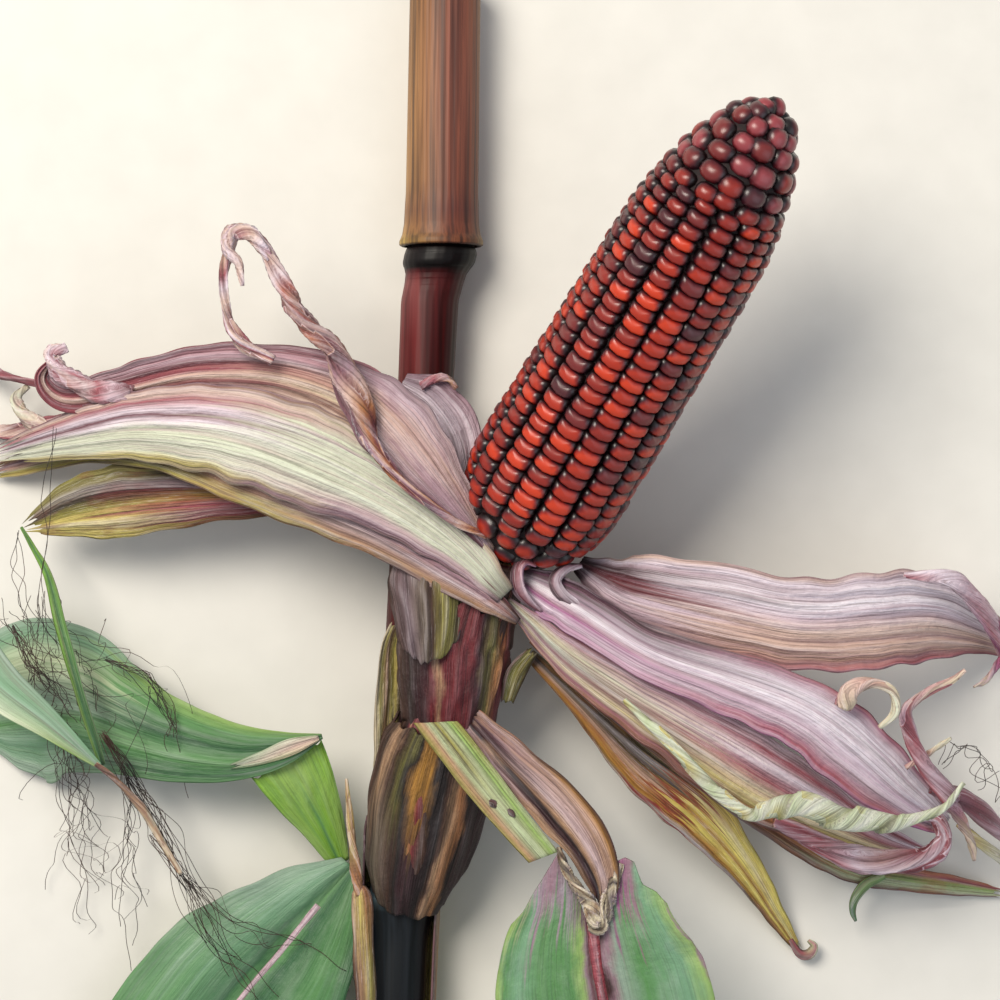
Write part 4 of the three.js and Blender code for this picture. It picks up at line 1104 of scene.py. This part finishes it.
lay_leaf(
    305, "husk_right_middle", "mauve_husk", pleats=4.0, depth=1.1, torn=(0.0, 0.015), curl=(1.2, 1.4),
    look=leaf_finish(
        "pleated_magenta_husk",
        # Near black and dark wine at its upper edge near the foot are a painted shadow, where the upper husk
        # lies over it.
        "0 near black, 0.12 dark wine, 0.22 grey mauve, 0.34 lilac grey, 0.46 white, 0.58 lilac, "
        "0.68 magenta, 0.8 lilac white, 1 magenta",
        "0 rose, 0.12 lilac white, 0.35 white, 0.6 lilac white, 0.8 lilac, 0.93 rose, 1 magenta",
        change=(0.25, 0.65), streak="magenta", streaks=0.35, valleys=0.55, hairs=0.3, veins=0.6, shade=0.8,
    ),
    line=[
        (6, -23, 44.5, 3), (13.5, -27.5, 47.5, 6.4, 0, -14), (24, -33.7, 50.2, 7.2, 0, -18),
        (45, -46.4, 53.5, 7.2, 0, -20), (68.7, -55, 54, 9, 0, -22), (90, -63.5, 52, 10.2, 0, -22),
        (107, -76, 46, 11.2, 0, -18), (123.4, -90, 36, 8.3, 0, -12), (139, -101, 23, 3),
    ],
)
lay_leaf(
    306, "husk_right_curl", "mauve_husk", rolled=True, flatness=0.55, twist=1.0, fold_depth=0.28,
    look=leaf_finish(
        "rolled_pink_curl",
        "0 wine, 0.3 orange tan, 0.5 lilac, 0.7 rose, 1 mauve",
        "0 rose, 0.3 lilac, 0.5 lilac white, 0.7 rose, 1 wine",
        change=(0.1, 0.5), streaks=0.4, valley="wine", valleys=0.7,
    ),
    line=[
        (83, -97, 42, 1.8, -20), (98.6, -105, 38, 3.4, -25), (114.5, -110.5, 33, 4, -30),
        (129, -110, 30.5, 3.4, -30), (136, -104, 30.5, 2.6, -20), (133.5, -97.5, 31, 2, -10),
        (126, -97.5, 30.5, 1.2),
    ],
)
lay_leaf(
    307, "husk_right_tip", "mauve_husk", rolled=True, flatness=0.6, twist=0.4, folds=2, fold_depth=0.22,
    look=leaf_finish(
        "rose_rolled_tip",
        "0 rose, 0.5 red wine, 1 mauve",
        "0 rose, 0.4 lilac, 0.7 red wine, 1 rose",
        valley="dark wine", valleys=0.6,
    ),
    line=[
        (131, -87, 40.5, 2.2), (141.5, -91.5, 36, 2.8, -10), (154, -101.5, 24, 2.8, -15),
        (165.5, -111, 9, 1.4),
    ],
)
lay_leaf(
    308, "husk_right_cream", "pale_husk", rolled=True, flatness=0.4, twist=0.5,
    look=leaf_finish(
        "cream_husk_strap",
        "0 cream, 0.6 straw, 1 cream pink",
        "0 cream, 0.5 green white, 1 straw",
    ),
    line=[
        (141, -99.5, 28, 1.3), (148, -105.5, 22.5, 1.6), (157, -112.5, 15, 1.6), (165, -119, 6, 0.9),
    ],
)
lay_leaf(
    309, "husk_right_lower", "pale_husk", pleats=4.5, depth=0.8, torn=(0.0, 0.015), curl=(0.0, 0.8),
    ruffle=0.6,
    look=leaf_finish(
        "cream_olive_husk",
        "0 rose, 0.15 lilac, 0.3 cream, 0.5 green white, 0.66 mauve, 0.78 cream, 0.9 mauve, 1 orange tan",
        "0 lilac white, 0.15 rose, 0.3 lilac white, 0.5 rose, 0.62 cream, 0.78 straw, 0.88 orange tan, "
        "1 brown",
        change=(0.25, 0.6), streak="mauve", streaks=0.45, valley="rose", valleys=0.4, shade=0.8,
    ),
    line=[
        (2.4, -30, 49.5, 1.0), (9, -36.6, 48.5, 3.2, 0, -8), (20.5, -47, 48.5, 5.8, 0, -10),
        (40.6, -60.7, 48.5, 8.4, 0, -12), (61.6, -73.6, 47.5, 11.2, 0, -14),
        (80, -85.4, 43.5, 12.4, 0, -14), (99, -96, 33.5, 10, 0, -10), (117.2, -105.4, 22, 6),
        (133, -111, 13, 2.4),
    ],
)
lay_leaf(
    310, "husk_right_hooked", "yellow_husk", pleats=2.0, depth=0.5, torn=(0.0, 0.04), curl=(0.5, 0.5),
    look=leaf_finish(
        "hooked_green_husk",
        "0 mauve, 0.3 cream, 0.6 orange tan, 1 brown",
        "0 orange tan, 0.25 rose, 0.45 light leaf, 0.8 pale green, 1 wine",
        change=(0.45, 0.65), stain=("orange tan", 0.4), shade=0.8,
    ),
    line=[
        (10, -42, 38.5, 1.8), (30.5, -60, 39, 3), (61, -83, 35, 4.4), (89.5, -103.4, 23.5, 4.6),
        (109, -114.6, 14, 4.4), (126.6, -118.8, 8.5, 4), (144.3, -121.7, 4.5, 3), (162, -124.6, 1.2, 1.2),
    ],
)
lay_leaf(
    311, "husk_right_pointed", "yellow_husk", pleats=1.5, depth=0.5, torn=(0.0, 0.02), curl=(0.4, 1.0),
    ruffle=0.4,
    look=leaf_finish(
        "pointed_yellow_husk",
        "0 olive, 0.2 dark brown, 0.45 brown, 0.6 pink tan, 0.75 orange tan, 0.88 ochre, 1 brown",
        "0 olive straw, 0.1 yellow, 0.45 yellow, 0.58 ochre, 0.68 yellow, 0.86 ochre, 0.95 brown, "
        "1 dark brown",
        change=(0.38, 0.44), streak="olive straw", streaks=0.25, valley="ochre", valleys=0.2, crests=0.4,
        belt=(0.43, 0.04, "blood red"), stain=("orange tan", 0.35), shade=0.8, gloss=0.45,
    ),
    line=[
        (9, -47, 35, 1.8), (26, -64, 33, 3.8), (43, -81.5, 29, 7.2, 0, -8), (61.6, -97, 23, 8.3, 0, -8),
        (76, -114, 15, 5.6), (86, -129.5, 7, 3.4), (94.5, -142.5, 1.4, 1.2),
    ],
)
lay_leaf(
    312, "husk_right_middle_hook", "mauve_husk", of="husk_right_middle", rolled=True, flatness=0.6, folds=2,
    fold_depth=0.3, sides=14,
    look=leaf_finish(
        "rolled_magenta_foot",
        "0 dark wine, 0.4 magenta, 0.7 rose, 1 dark wine",
        "0 lilac grey, 0.5 lilac, 1 wine",
        valleys=0.8, valley="dark wine",
    ),
    line=[
        (11, -19.4, 50, 0.8), (7.6, -18.2, 50.5, 1.4), (5.3, -20.8, 51, 1.8), (5.4, -26, 51.2, 2.0),
        (8.4, -30.4, 50.2, 1.4), (12.4, -33.6, 47.6, 0.6),
    ],
)
lay_leaf(
    313, "husk_right_upper_curl", "mauve_husk", of="husk_right_upper", rolled=True, flatness=0.65, folds=2,
    fold_depth=0.3, sides=14,
    look=leaf_finish(
        "rolled_lilac_foot",
        "0 grey mauve, 0.4 dark wine, 0.7 lilac grey, 1 mauve",
        "0 lilac grey, 0.5 lilac white, 1 grey mauve",
        valleys=0.8, valley="dark wine",
    ),
    line=[
        (24.6, -19.8, 47.5, 0.8), (19.6, -20.8, 48.5, 1.6), (16.6, -24.2, 49, 2.1),
        (18.6, -28.4, 49.4, 2.1), (23.4, -31.4, 48.6, 1.5), (28.4, -33.4, 45.6, 0.6),
    ],
)
lay_leaf(
    314, "husk_right_fray", "pale_husk", of="husk_right_strand", rolled=True, twist=1.0, folds=2,
    fold_depth=0.3, sides=10,
    look=leaf_finish(
        "frayed_cream_thread",
        "0 rose, 1 cream pink",
        "0 cream, 1 green white",
    ),
    line=[
        (123, -81, 41, 0.9), (127.7, -77.6, 44.5, 1.0), (131.4, -74.4, 48, 0.9), (135.2, -71.4, 50.5, 0.5),
    ],
)
lay_leaf(
    315, "husk_right_fold_fray", "mauve_husk", of="husk_right_fold", rolled=True, twist=1.0, folds=2,
    fold_depth=0.3, sides=10,
    look=leaf_finish(
        "frayed_magenta_tip",
        "0 magenta, 1 rose",
        "0 lilac, 1 cream",
    ),
    line=[
        (158, -47, 17, 1.4), (153.5, -51.5, 22, 1.1), (149.6, -55.6, 26, 0.9), (145.6, -57.4, 28.5, 0.5),
    ],
)
lay_leaf(
    316, "husk_right_tip_fray", "pale_husk", of="husk_right_tip", rolled=True, twist=1.0, folds=2,
    fold_depth=0.3, sides=10,
    look=leaf_finish(
        "frayed_pale_tip",
        "0 rose, 1 lilac",
        "0 cream, 1 cream pink",
    ),
    line=[
        (134, -88, 42.5, 1.5), (139, -95, 38, 1.7), (143.6, -103.6, 33.5, 1.4), (145.6, -110.5, 29.5, 0.6),
    ],
)
lay_leaf(
    317, "husk_right_hooked_tendril", "green_leaf", of="husk_right_hooked", rolled=True, folds=2,
    fold_depth=0.2, sides=12,
    look=leaf_finish(
        "green_husk_tendril",
        "0 light leaf, 0.5 leaf, 1 light leaf",
        "0 leaf, 1 dark leaf",
    ),
    line=[
        (120, -117.6, 12.5, 1.2), (114.4, -119.8, 14, 1.8), (110.8, -124.4, 14, 1.6),
        (110.2, -128.4, 13, 1.1), (111.2, -131.6, 12, 0.5),
    ],
)
lay_leaf(
    318, "husk_right_pointed_curl", "mauve_husk", of="husk_right_pointed", rolled=True, flatness=0.6,
    folds=2, fold_depth=0.25, sides=12,
    look=leaf_finish(
        "dry_rose_curl",
        "0 brown, 0.5 rose, 1 brown",
        "0 olive straw, 0.5 pale green, 1 rose",
    ),
    line=[
        (91.6, -138.6, 3.4, 0.8), (94.4, -143, 3.4, 1.4), (97.4, -143.2, 4, 1.6), (99, -140.6, 4.4, 1.2),
        (97.2, -138.8, 4.4, 0.6),
    ],
)

# The ear's own leaf.
# It wraps the lower node and the shank with its sheath, which has dried dark. Two torn strips of the sheath
# bend over and down to the collar, where the living blade starts with two purple ears and a red midrib.
lay_leaf(
    400, "leaf_sheath", "brown_sheath", pleats=7.0, depth=0.7, torn=(0.01, 0.04), wall=0.9, edge=0.02,
    look=leaf_finish(
        "dark_dry_sheath",
        "0.15 brown, 0.27 grey brown, 0.36 brown, 0.4 near black, 0.46 dark wine, 0.55 near black, "
        "0.585 brown, 0.61 tan, 0.65 orange tan, 0.68 dark brown, 0.8 dark wine, 0.95 dark brown",
        "0.15 brown, 0.23 tan, 0.29 brown, 0.35 olive, 0.4 near black, 0.43 ochre, 0.49 ochre, "
        "0.53 near black, 0.55 near black, 0.585 brown, 0.61 tan, 0.65 orange tan, 0.68 dark brown, "
        "0.8 dark wine, 0.95 dark brown",
        change=(0.35, 0.6), streak="near black", streaks=0.6, valley="near black", valleys=0.6, crests=0.04,
        gloss=0.65,
    ),
    line=[
        (-29, -129, 25, 22, 0, -118), (-27, -117, 33, 31, 0, -115), (-23, -97, 41, 35, 0, -112),
        (-19, -80, 47, 32, 0, -104), (-17, -70, 49, 25, 0, -92),
    ],
)
lay_leaf(
    401, "leaf_strip_green", "green_leaf", depth=0.3, torn=(0.0, 0.0), edge=0.01,
    foot_cut=((-1, 0.75), (1, 0)), tip_cut=((-1, 0), (1, 0.2)),
    look=leaf_finish(
        "pale_green_sheath_strip",
        "0 olive straw, 0.2 light leaf, 0.35 pale green, 0.5 olive straw, 0.66 pale green, 0.8 tan, "
        "1 olive straw",
        "0 pale green, 0.2 light leaf, 0.4 pale green, 0.6 pale green, 0.82 tan, 1 olive straw",
        streak="brown", streaks=0.5, valley="olive", valleys=0.55, crests=0.0, hairs=0.4, gloss=0.5,
    ),
    line=[
        (-22, -63.5, 51, 5.2), (-15, -72, 53, 5.6), (-6, -83.4, 56, 5.6), (3.6, -95, 59.5, 5),
        (14, -107, 62, 4.4),
    ],
)
lay_leaf(
    402, "leaf_strip_mauve", "mauve_husk", depth=0.9, torn=(0.0, 0.01), curl=(0.6, 1.2),
    tip_cut=((-1, 0.6), (0.2, 0), (1, 0.5)),
    look=leaf_finish(
        "mauve_sheath_strip",
        "0 orange tan, 0.1 pink grey, 0.36 mauve, 0.46 dark wine, 0.56 grey mauve, 0.64 dark wine, "
        "0.74 near black, 0.8 pink grey, 1 mauve",
        "0 brown, 0.1 ochre, 0.22 pink tan, 0.5 pink grey, 0.62 tan, 0.68 near black, 0.8 dark wine, 1 tan",
        change=(0.2, 0.5), streak="dark wine", streaks=0.5, valley="dark wine", valleys=0.45, crests=0.1,
        stain=("tan", 0.5),
    ),
    line=[
        (-9.5, -65, 42, 3.2), (-5, -69.4, 46.5, 4.6, 0, 20), (3, -77.4, 51, 6.8, 0, 40),
        (12, -85.6, 55.5, 8.4, 0, 42), (20.4, -94.4, 59, 8.8, 0, 42), (27, -104, 61, 7.4, 0, 38),
        (30.5, -113.5, 60.5, 5.0, 0, 20), (30.5, -121, 59, 2.6),
    ],
)
lay_leaf(
    403, "leaf_collar", "pale_husk", rolled=True, flatness=0.4, twist=2.6, folds=4, fold_depth=0.45,
    rows_apart=0.4,
    look=leaf_finish(
        "ragged_beige_collar",
        "0 grey mauve, 0.4 cream, 0.6 tan, 0.85 cream, 1 brown",
        "0 lilac grey, 0.4 cream, 0.55 dark brown, 0.7 cream, 1 grey mauve",
        streak="dark brown", streaks=0.8, valley="dark brown", valleys=0.8,
    ),
    line=[
        (17.4, -102.6, 63, 0.6), (18.8, -108, 62.8, 1.1), (22.4, -114, 62.4, 1.4), (26.8, -119.8, 61, 2.0),
        (29, -126, 59.6, 2.6), (31.4, -120, 60.6, 2.0), (34, -113.4, 61.4, 1.4), (36, -107.6, 62, 0.7),
    ],
)
EAR_BLADE_LINE = [
    (27, -101, 60, 20, 0, 18), (27.2, -111, 58, 21, 0, 18), (27.4, -121, 56, 23, 0, 18),
    (28.3, -134, 54, 29, 0, 14), (31, -150, 50, 33, 0, 12), (38, -185, 41, 33, 0, 10),
    (50, -225, 28, 29, 0, 10), (66, -265, 15, 22, 0, 8), (84, -300, 6, 13, 0, 5), (98, -325, 1.6, 1.5),
]
lay_leaf(
    404, "ear_leaf_blade", "green_leaf", pleats=5.0, depth=0.2, arch=3.0, ruffle=1.0, wall=0.8, edge=0.004,
    torn=(0.0, 0.0),
    foot_cut=(
        (-1, 1.9), (-0.9, 1.5), (-0.72, 1.25), (-0.64, 0.6), (-0.5, 0.45), (-0.36, 0.6), (-0.04, 2.2),
        (0.1, 2.2), (0.38, 0.4), (0.47, 0.15), (0.6, 0.6), (0.8, 1.4), (1, 2.3),
    ),
    look=leaf_finish(
        "waxy_ear_leaf",
        "0 light leaf, 0.16 blue leaf, 0.22 mauve, 0.32 magenta, 0.42 grey mauve, 0.5 dark wine, "
        "0.58 grey mauve, 0.7 lilac grey, 0.8 mauve, 0.9 lilac grey, 1 light leaf",
        "0 mauve, 0.02 light leaf, 0.1 blue leaf, 0.3 leaf, 0.39 grey leaf, 0.44 mauve, 0.475 dark wine, "
        "0.53 wine, 0.55 mauve, 0.58 light leaf, 0.64 leaf, 0.8 leaf, 0.9 blue leaf, 0.97 leaf, "
        "1 light leaf",
        change=(0.18, 0.27), streak="blue leaf", streaks=0.15, valley="leaf", valleys=0.12, crests=0.05,
        hairs=0.1, veins=0.35, bloom=0.07, edge=0.1, gloss=0.42,
    ),
    line=EAR_BLADE_LINE,
)


def midrib(seed, node, line, foot_paint, tip_paint, thick, lift, start):
    """A half-sunk round rib down the middle of a blade, from a start to near its tip, that thins evenly."""
    shares = np.linspace(start, 0.93, 30)
    middle, _, face, _, _ = leaf_line(line, shares)
    radii = thick * np.linspace(1, 0.25, len(shares))
    stations = [(*p, r) for p, r in zip(middle + face * lift, radii)]
    foot, tip = f"0 {tip_paint}, 0.5 {foot_paint}, 1 {tip_paint}", f"0 {foot_paint}, 1 {tip_paint}"
    look = leaf_finish(f"{node}_midrib_skin", foot, tip, streaks=0.2, gloss=0.35)
    shape = {"flatness": 0.7, "fold_depth": 0.03, "rows_apart": 2.0, "sides": 14}
    points, faces, maps, marks = rolled_leaf(stations, np.random.default_rng(seed), **shape)
    rib = make_piece(f"{node}_midrib", points, faces, looks=[look], maps=maps, marks=marks)
    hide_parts(node)


# Midribs: juicy fibre strands in a smooth skin, glossier than the blade. The ear leaf's is blood red, and
# that of the lower leaf pale pink and lilac.
midrib(450, "ear_leaf_blade", EAR_BLADE_LINE, "blood red", "rose", 2.3, 0.9, 0.27)

# Scars: two old bite marks on the green strip, corky and nearly black.
scar_cork = leaf_finish("dark_leaf_scar", "0 dark brown, 1 brown", "0 brown, 1 dark brown")
for seed, side, (x, y, z) in ((460, "left", (-2.1, -90.2, 58.4)), (461, "right", (3.3, -92.8, 60.0))):
    lay_leaf(
        seed, f"leaf_strip_scar_{side}", "brown_sheath", of="leaf_strip_green", rolled=True, look=scar_cork,
        flatness=0.45, folds=2, fold_depth=0.2, rows_apart=0.3, sides=12,
        line=[(x - 0.9, y + 1.1, z, 0.4), (x, y, z, 1.1), (x + 0.9, y - 1.1, z, 0.4)],
    )

# The leaves of the lower node.
# The sheath cradles the stalk's foot. Its blade goes down to the left, and a leaf from behind rises, folds
# over and falls to the left. A narrow green flag hangs from the tip of the yellow husk above them.
lay_leaf(
    500, "lower_sheath", "yellow_husk", pleats=8.0, depth=0.3, wall=1.0, torn=(0.0, 0.04), edge=0.0,
    ruffle=0.0,
    look=leaf_finish(
        "lower_yellow_sheath",
        "0 dark brown, 0.12 brown, 0.2 straw, 0.5 olive, 0.8 straw, 0.9 tan, 1 brown",
        "0 dark brown, 0.3 olive straw, 0.7 olive straw, 1 cream",
        streaks=0.4,
    ),
    line=[
        (-33.1, -168.5, 0.86, 23, 0, 110), (-32, -140, 0.86, 23.5, 0, 112), (-31, -122, 0.86, 23, 0, 110),
        (-30.2, -106, 0.86, 20, 0, 95), (-31, -96, 1.4, 12, 0, 55),
    ],
)
LOWER_BLADE_LINE = [
    (-46, -114, 16.5, 4.5, 0, 10), (-57, -126.5, 16, 17, 0, 12), (-69, -141.5, 13.7, 26.5, 0, 12),
    (-82.4, -157.7, 11.5, 32, 0, 12), (-100, -185, 9, 33, 0, 12), (-118, -222, 6.5, 29, 0, 10),
    (-133, -262, 4, 21, 0, 8), (-143, -298, 2.5, 11), (-148, -322, 1.6, 1.5),
]
lay_leaf(
    501, "lower_leaf_blade", "green_leaf", pleats=4.0, depth=0.25, arch=2.0, ruffle=1.2, wall=0.8,
    edge=0.004, torn=(0.0, 0.0), step=(2.0, 1.2),
    look=leaf_finish(
        "grey_green_lower_leaf",
        # The dark leaf bands either side of the middle are painted shade in the folds beside the midrib.
        "0 dark leaf, 0.2 leaf, 0.42 dark leaf, 0.5 leaf, 0.58 dark leaf, 0.7 blue leaf, 1 grey leaf",
        "0 dark leaf, 0.2 leaf, 0.42 dark leaf, 0.5 leaf, 0.58 dark leaf, 0.8 leaf, 1 leaf",
        change=(0.15, 0.5), streak="blue leaf", streaks=0.25, valley="dark leaf", valleys=0.3, crests=0.05,
        hairs=0.1, veins=0.25, bloom=0.04, edge=0.1, gloss=0.5,
    ),
    line=LOWER_BLADE_LINE,
)
lay_leaf(
    502, "arched_leaf_rise", "green_leaf", depth=0.4, arch=0.8, wall=0.7, torn=(0.0, 0.02), edge=0.01,
    look=leaf_finish(
        "bright_leaf_underside",
        "0 light leaf, 0.4 bright leaf, 0.5 leaf, 0.6 bright leaf, 1 light leaf",
        "0 bright leaf, 0.5 light leaf, 1 bright leaf",
        streak="leaf", valley="leaf", crests=0.05, hairs=0.2, veins=0.4, gloss=0.5,
    ),
    line=[
        (-50, -113, 15, 3.2), (-55.5, -99.5, 20.5, 7.4), (-61, -88.5, 25, 10.6), (-65.8, -79.6, 26.9, 12.3),
    ],
)
lay_leaf(
    503, "arched_leaf_fall", "green_leaf", depth=0.5, arch=1.4, ruffle=1.0, wall=0.7, torn=(0.0, 0.0),
    edge=0.01,
    look=leaf_finish(
        "grey_green_arched_leaf",
        "0 leaf, 0.1 dark leaf, 0.35 leaf, 0.55 dark leaf, 0.8 leaf, 1 light leaf",
        # Grey and blue leaf at the lower edge of its tip half are a painted highlight.
        "0 grey leaf, 0.25 blue leaf, 0.4 leaf, 0.5 grey leaf, 0.75 pale green, 0.9 blue leaf, 1 grey leaf",
        change=(0.5, 0.65), streak="leaf", valley="dark leaf", valleys=0.4, crests=0.1, hairs=0.15,
        veins=0.4, bloom=0.06, edge=0.1, gloss=0.5,
    ),
    line=[
        (-54.5, -72.4, 30.4, 0.8), (-66, -76, 30.6, 5.2), (-80, -77.5, 28.5, 8.6, 0, -10),
        (-94, -76, 24.5, 11.4, 0, -12), (-108, -72.6, 21, 14.2, 0, -12), (-122, -67.5, 16, 18.5, 0, -10),
        (-134, -63.5, 12, 24, 0, -8), (-147, -63.5, 8, 26, 0, -6), (-158, -67, 4.5, 19),
        (-167, -71, 1.6, 5),
    ],
)
lay_leaf(
    504, "arched_leaf_bleached_fold", "green_leaf", of="arched_leaf_fall", pleats=1.0, depth=0.1,
    ruffle=0.0, edge=0.01, torn=(0.0, 0.1),
    look=leaf_finish(
        "bleached_leaf_fold",
        "0 cream, 0.5 cream pink, 1 green white",
        "0 leaf, 0.4 green white, 1 grey leaf",
        change=(0.3, 0.9), valley="light leaf", crests=0.1,
    ),
    line=[
        (-55.5, -72.8, 31.6, 0.9), (-64, -75.6, 32, 2.6, 0, -8), (-73, -79, 31, 2.0, 0, -8),
        (-83, -82, 29, 0.8),
    ],
)
lay_leaf(
    505, "arched_leaf_tip", "green_leaf", of="arched_leaf_fall", pleats=2.0, depth=0.3, ruffle=0.4,
    edge=0.01, torn=(0.0, 0.0),
    look=leaf_finish(
        "drooping_leaf_tip",
        "0 grey leaf, 0.5 blue leaf, 1 green white",
        "0 blue leaf, 0.5 grey leaf, 1 light leaf",
        valley="leaf", crests=0.1, hairs=0.1, veins=0.35,
    ),
    line=[
        (-163, -45, 28, 7.6), (-153.6, -56.4, 31.5, 7.2, 0, -8), (-139, -67.6, 33.5, 4.6, 0, -8),
        (-128.6, -76.2, 33.5, 2.4), (-122.4, -81.4, 32.5, 0.9),
    ],
)
lay_leaf(
    506, "arched_leaf_dry_thread", "yellow_husk", of="arched_leaf_fall", rolled=True, flatness=0.6,
    twist=1.0, folds=2, fold_depth=0.2, sides=12,
    look=leaf_finish(
        "dry_leaf_tip_thread",
        "0 tan, 1 brown",
        "0 tan, 1 cream",
    ),
    line=[
        (-123.6, -80.6, 33, 0.7), (-117.4, -86, 31, 1.0), (-110, -95, 27.5, 1.2), (-104.2, -106, 23.5, 1.1),
        (-98.8, -115.8, 21, 0.6),
    ],
)
lay_leaf(
    507, "husk_left_flag", "green_leaf", pleats=1.0, depth=0.2, torn=(0.0, 0.0), ruffle=0.0,
    look=leaf_finish(
        "green_flag",
        "0 bright leaf, 0.5 leaf, 1 bright leaf",
        "0 leaf, 0.5 dark leaf, 1 bright leaf",
        streak="leaf", crests=0.05, hairs=0.2, gloss=0.5,
    ),
    line=[
        (-148.6, -8.4, 18.8, 0.45), (-144.6, -15, 20.2, 0.9), (-139.5, -23.5, 24, 1.4),
        (-134.8, -40, 27, 2.0, 20), (-128.5, -61.5, 28.5, 2.2, 40), (-122.3, -81.6, 27, 1),
    ],
)
lay_leaf(
    508, "lower_sheath_dry_tendril", "yellow_husk", of="lower_sheath", rolled=True, twist=1.0, folds=2,
    fold_depth=0.25, sides=12,
    look=leaf_finish(
        "dry_sheath_tendril",
        "0 brown, 0.5 orange tan, 1 tan",
        "0 straw, 0.5 tan, 1 cream",
        streak="brown", valleys=0.7, valley="brown",
    ),
    line=[
        (-43.4, -122, 25.5, 1.6), (-44.6, -113, 25.5, 1.5), (-46, -101, 25, 1.2), (-47.4, -86, 24, 0.5),
    ],
)
lay_leaf(
    509, "lower_sheath_dry_edge", "yellow_husk", of="lower_sheath", pleats=2.0, depth=0.4, torn=(0.0, 0.02),
    curl=(0.6, 0.6),
    look=leaf_finish(
        "dry_sheath_edge",
        "0 brown, 0.3 orange tan, 0.6 straw, 1 tan",
        "0 brown, 0.3 olive straw, 0.7 tan, 1 brown",
        streak="brown", valley="brown", valleys=0.6,
    ),
    line=[
        (-43.4, -119, 25, 1.4), (-42.6, -122.6, 26.4, 2.8, 0, -30), (-42, -135, 26.6, 3.2, 0, -30),
        (-41.4, -148, 25.6, 3.2, 0, -30), (-41, -161, 24.4, 2.6, 0, -20),
    ],
)
midrib(451, "lower_leaf_blade", LOWER_BLADE_LINE, "pink grey", "lilac", 1.3, 0.6, 0.12)

# The silks.
# Dead silk from the ear's tip, black brown and finer than thread, that has caught on the left husks and
# trails over the leaves below. Each strand is drawn four times its real width, so that it shows.
SILK_SIDES = 3
SILK_RADIUS = 0.13
SILK_POINTS = 40
SILK_BUNDLES = [  # strands, spread and the line that they follow
    (18, 1.5, [
        (-122, -72, 27), (-113, -88, 23), (-104, -104, 18), (-94, -126, 19.5), (-84, -143, 18),
        (-70, -158, 17),
    ]),
    (5, 2.0, [(-108, -104, 18), (-92, -122, 19.5), (-74, -135, 19), (-60, -140, 18), (-46, -143, 18)]),
    (15, 5.0, [(-134, -70, 24), (-133, -86, 16), (-131, -104, 6), (-128, -122, 3), (-126, -136, 2)]),
    (7, 3.4, [(-116, -84, 24), (-115, -104, 13), (-117, -124, 8), (-116, -146, 7)]),
    (10, 0.7, [(-151, -39, 20), (-145, -50, 22), (-134, -62, 23), (-130, -71, 24)]),
    (9, 0.8, [(-122, -49, 20), (-109, -55, 22.5), (-101.4, -66, 25), (-99.4, -74, 25.5), (-99, -92, 18)]),
    (8, 7.5, [(-152, -36, 18), (-140, -48, 20.5), (-124, -52, 22), (-110, -60, 25), (-114, -74, 26)]),
    (8, 7.5, [(-142, -32, 16), (-138, -48, 21), (-134, -60, 22), (-132, -76, 18), (-140, -86, 12)]),
    (3, 1.2, [(-149, -10, 20), (-148, -22, 22), (-147, -38, 20), (-143, -52, 22), (-138, -64, 23)]),
    (2, 0.5, [
        (-136, 22, 37), (-137.5, 4, 37), (-138, -12, 30), (-140, -34, 27), (-144, -58, 22), (-149, -76, 12),
    ]),
    (4, 1.6, [(133, -80, 47), (139, -74, 43), (147, -79, 33), (152, -88, 20), (156, -98, 8)]),
]
# Dead silk: dry protein thread, dull black brown.
dead_silk, tree, shader = blank_finish("dead_maize_silk")
dress(tree, shader, colours(tree, noise(tree, 60.0, 2.0), [(0.4, "#1c1210"), (0.65, "#4a3026")]), 0.5)


def silk_strands(rng, count, spread, line):
    """Thin tubes that follow one line, each at a set-off of its own that grows along it, with its own
    ripples: rings of three points round each strand's middle. Strands never go below the floor."""
    t = np.linspace(0, 1, SILK_POINTS)
    middle = curve(line, t)
    ends = rng.uniform(0.55, 1.0, count)
    here = np.stack([curve(line, t * end) for end in ends])
    share = t[None, :, None]
    drift = rng.normal(0, spread, (count, 1, 2)) * (0.25 + 0.9 * share)
    wander = 0
    for k in (1, 2, 3, 5):  # waves in a strand's length
        size = rng.normal(0, (1.2 + spread / 3) / k**0.7, (count, 1, 2))
        wander = wander + size * np.sin(2 * np.pi * k * (share + rng.random((count, 1, 2))))
    here[..., :2] += drift + wander * (0.3 + share)
    raised = rng.uniform(-0.3, 1.6, (count, 1))
    here[..., 2] += raised + 0.5 * np.sin(9 * t[None] + rng.uniform(0, 6, (count, 1)))
    here[..., 2] = np.maximum(here[..., 2], 0.5)
    turns = 2 * np.pi * np.arange(SILK_SIDES) / SILK_SIDES
    along = np.gradient(middle, axis=0)
    along /= np.linalg.norm(along, axis=1, keepdims=True)
    side = np.cross(along, (0, 0, 1))
    side /= np.linalg.norm(side, axis=1, keepdims=True)
    face = np.cross(side, along)
    ring = np.cos(turns)[:, None] * side[:, None] + np.sin(turns)[:, None] * face[:, None]
    return here[:, :, None, :] + SILK_RADIUS * ring[None]


rng = np.random.default_rng(29)
strands = np.concatenate([silk_strands(rng, *bundle) for bundle in SILK_BUNDLES])
per_strand = SILK_POINTS * SILK_SIDES
tube = [f.tolist() for f in grid_faces(SILK_POINTS, SILK_SIDES, closed_columns=True)[:, ::-1]]
tube += [[0, 1, 2], [per_strand - 1, per_strand - 2, per_strand - 3]]
all_faces = [[v + k * per_strand for v in f] for k in range(len(strands)) for f in tube]
silks = make_piece("dead_silks", strands.reshape(-1, 3), all_faces, looks=[dead_silk])
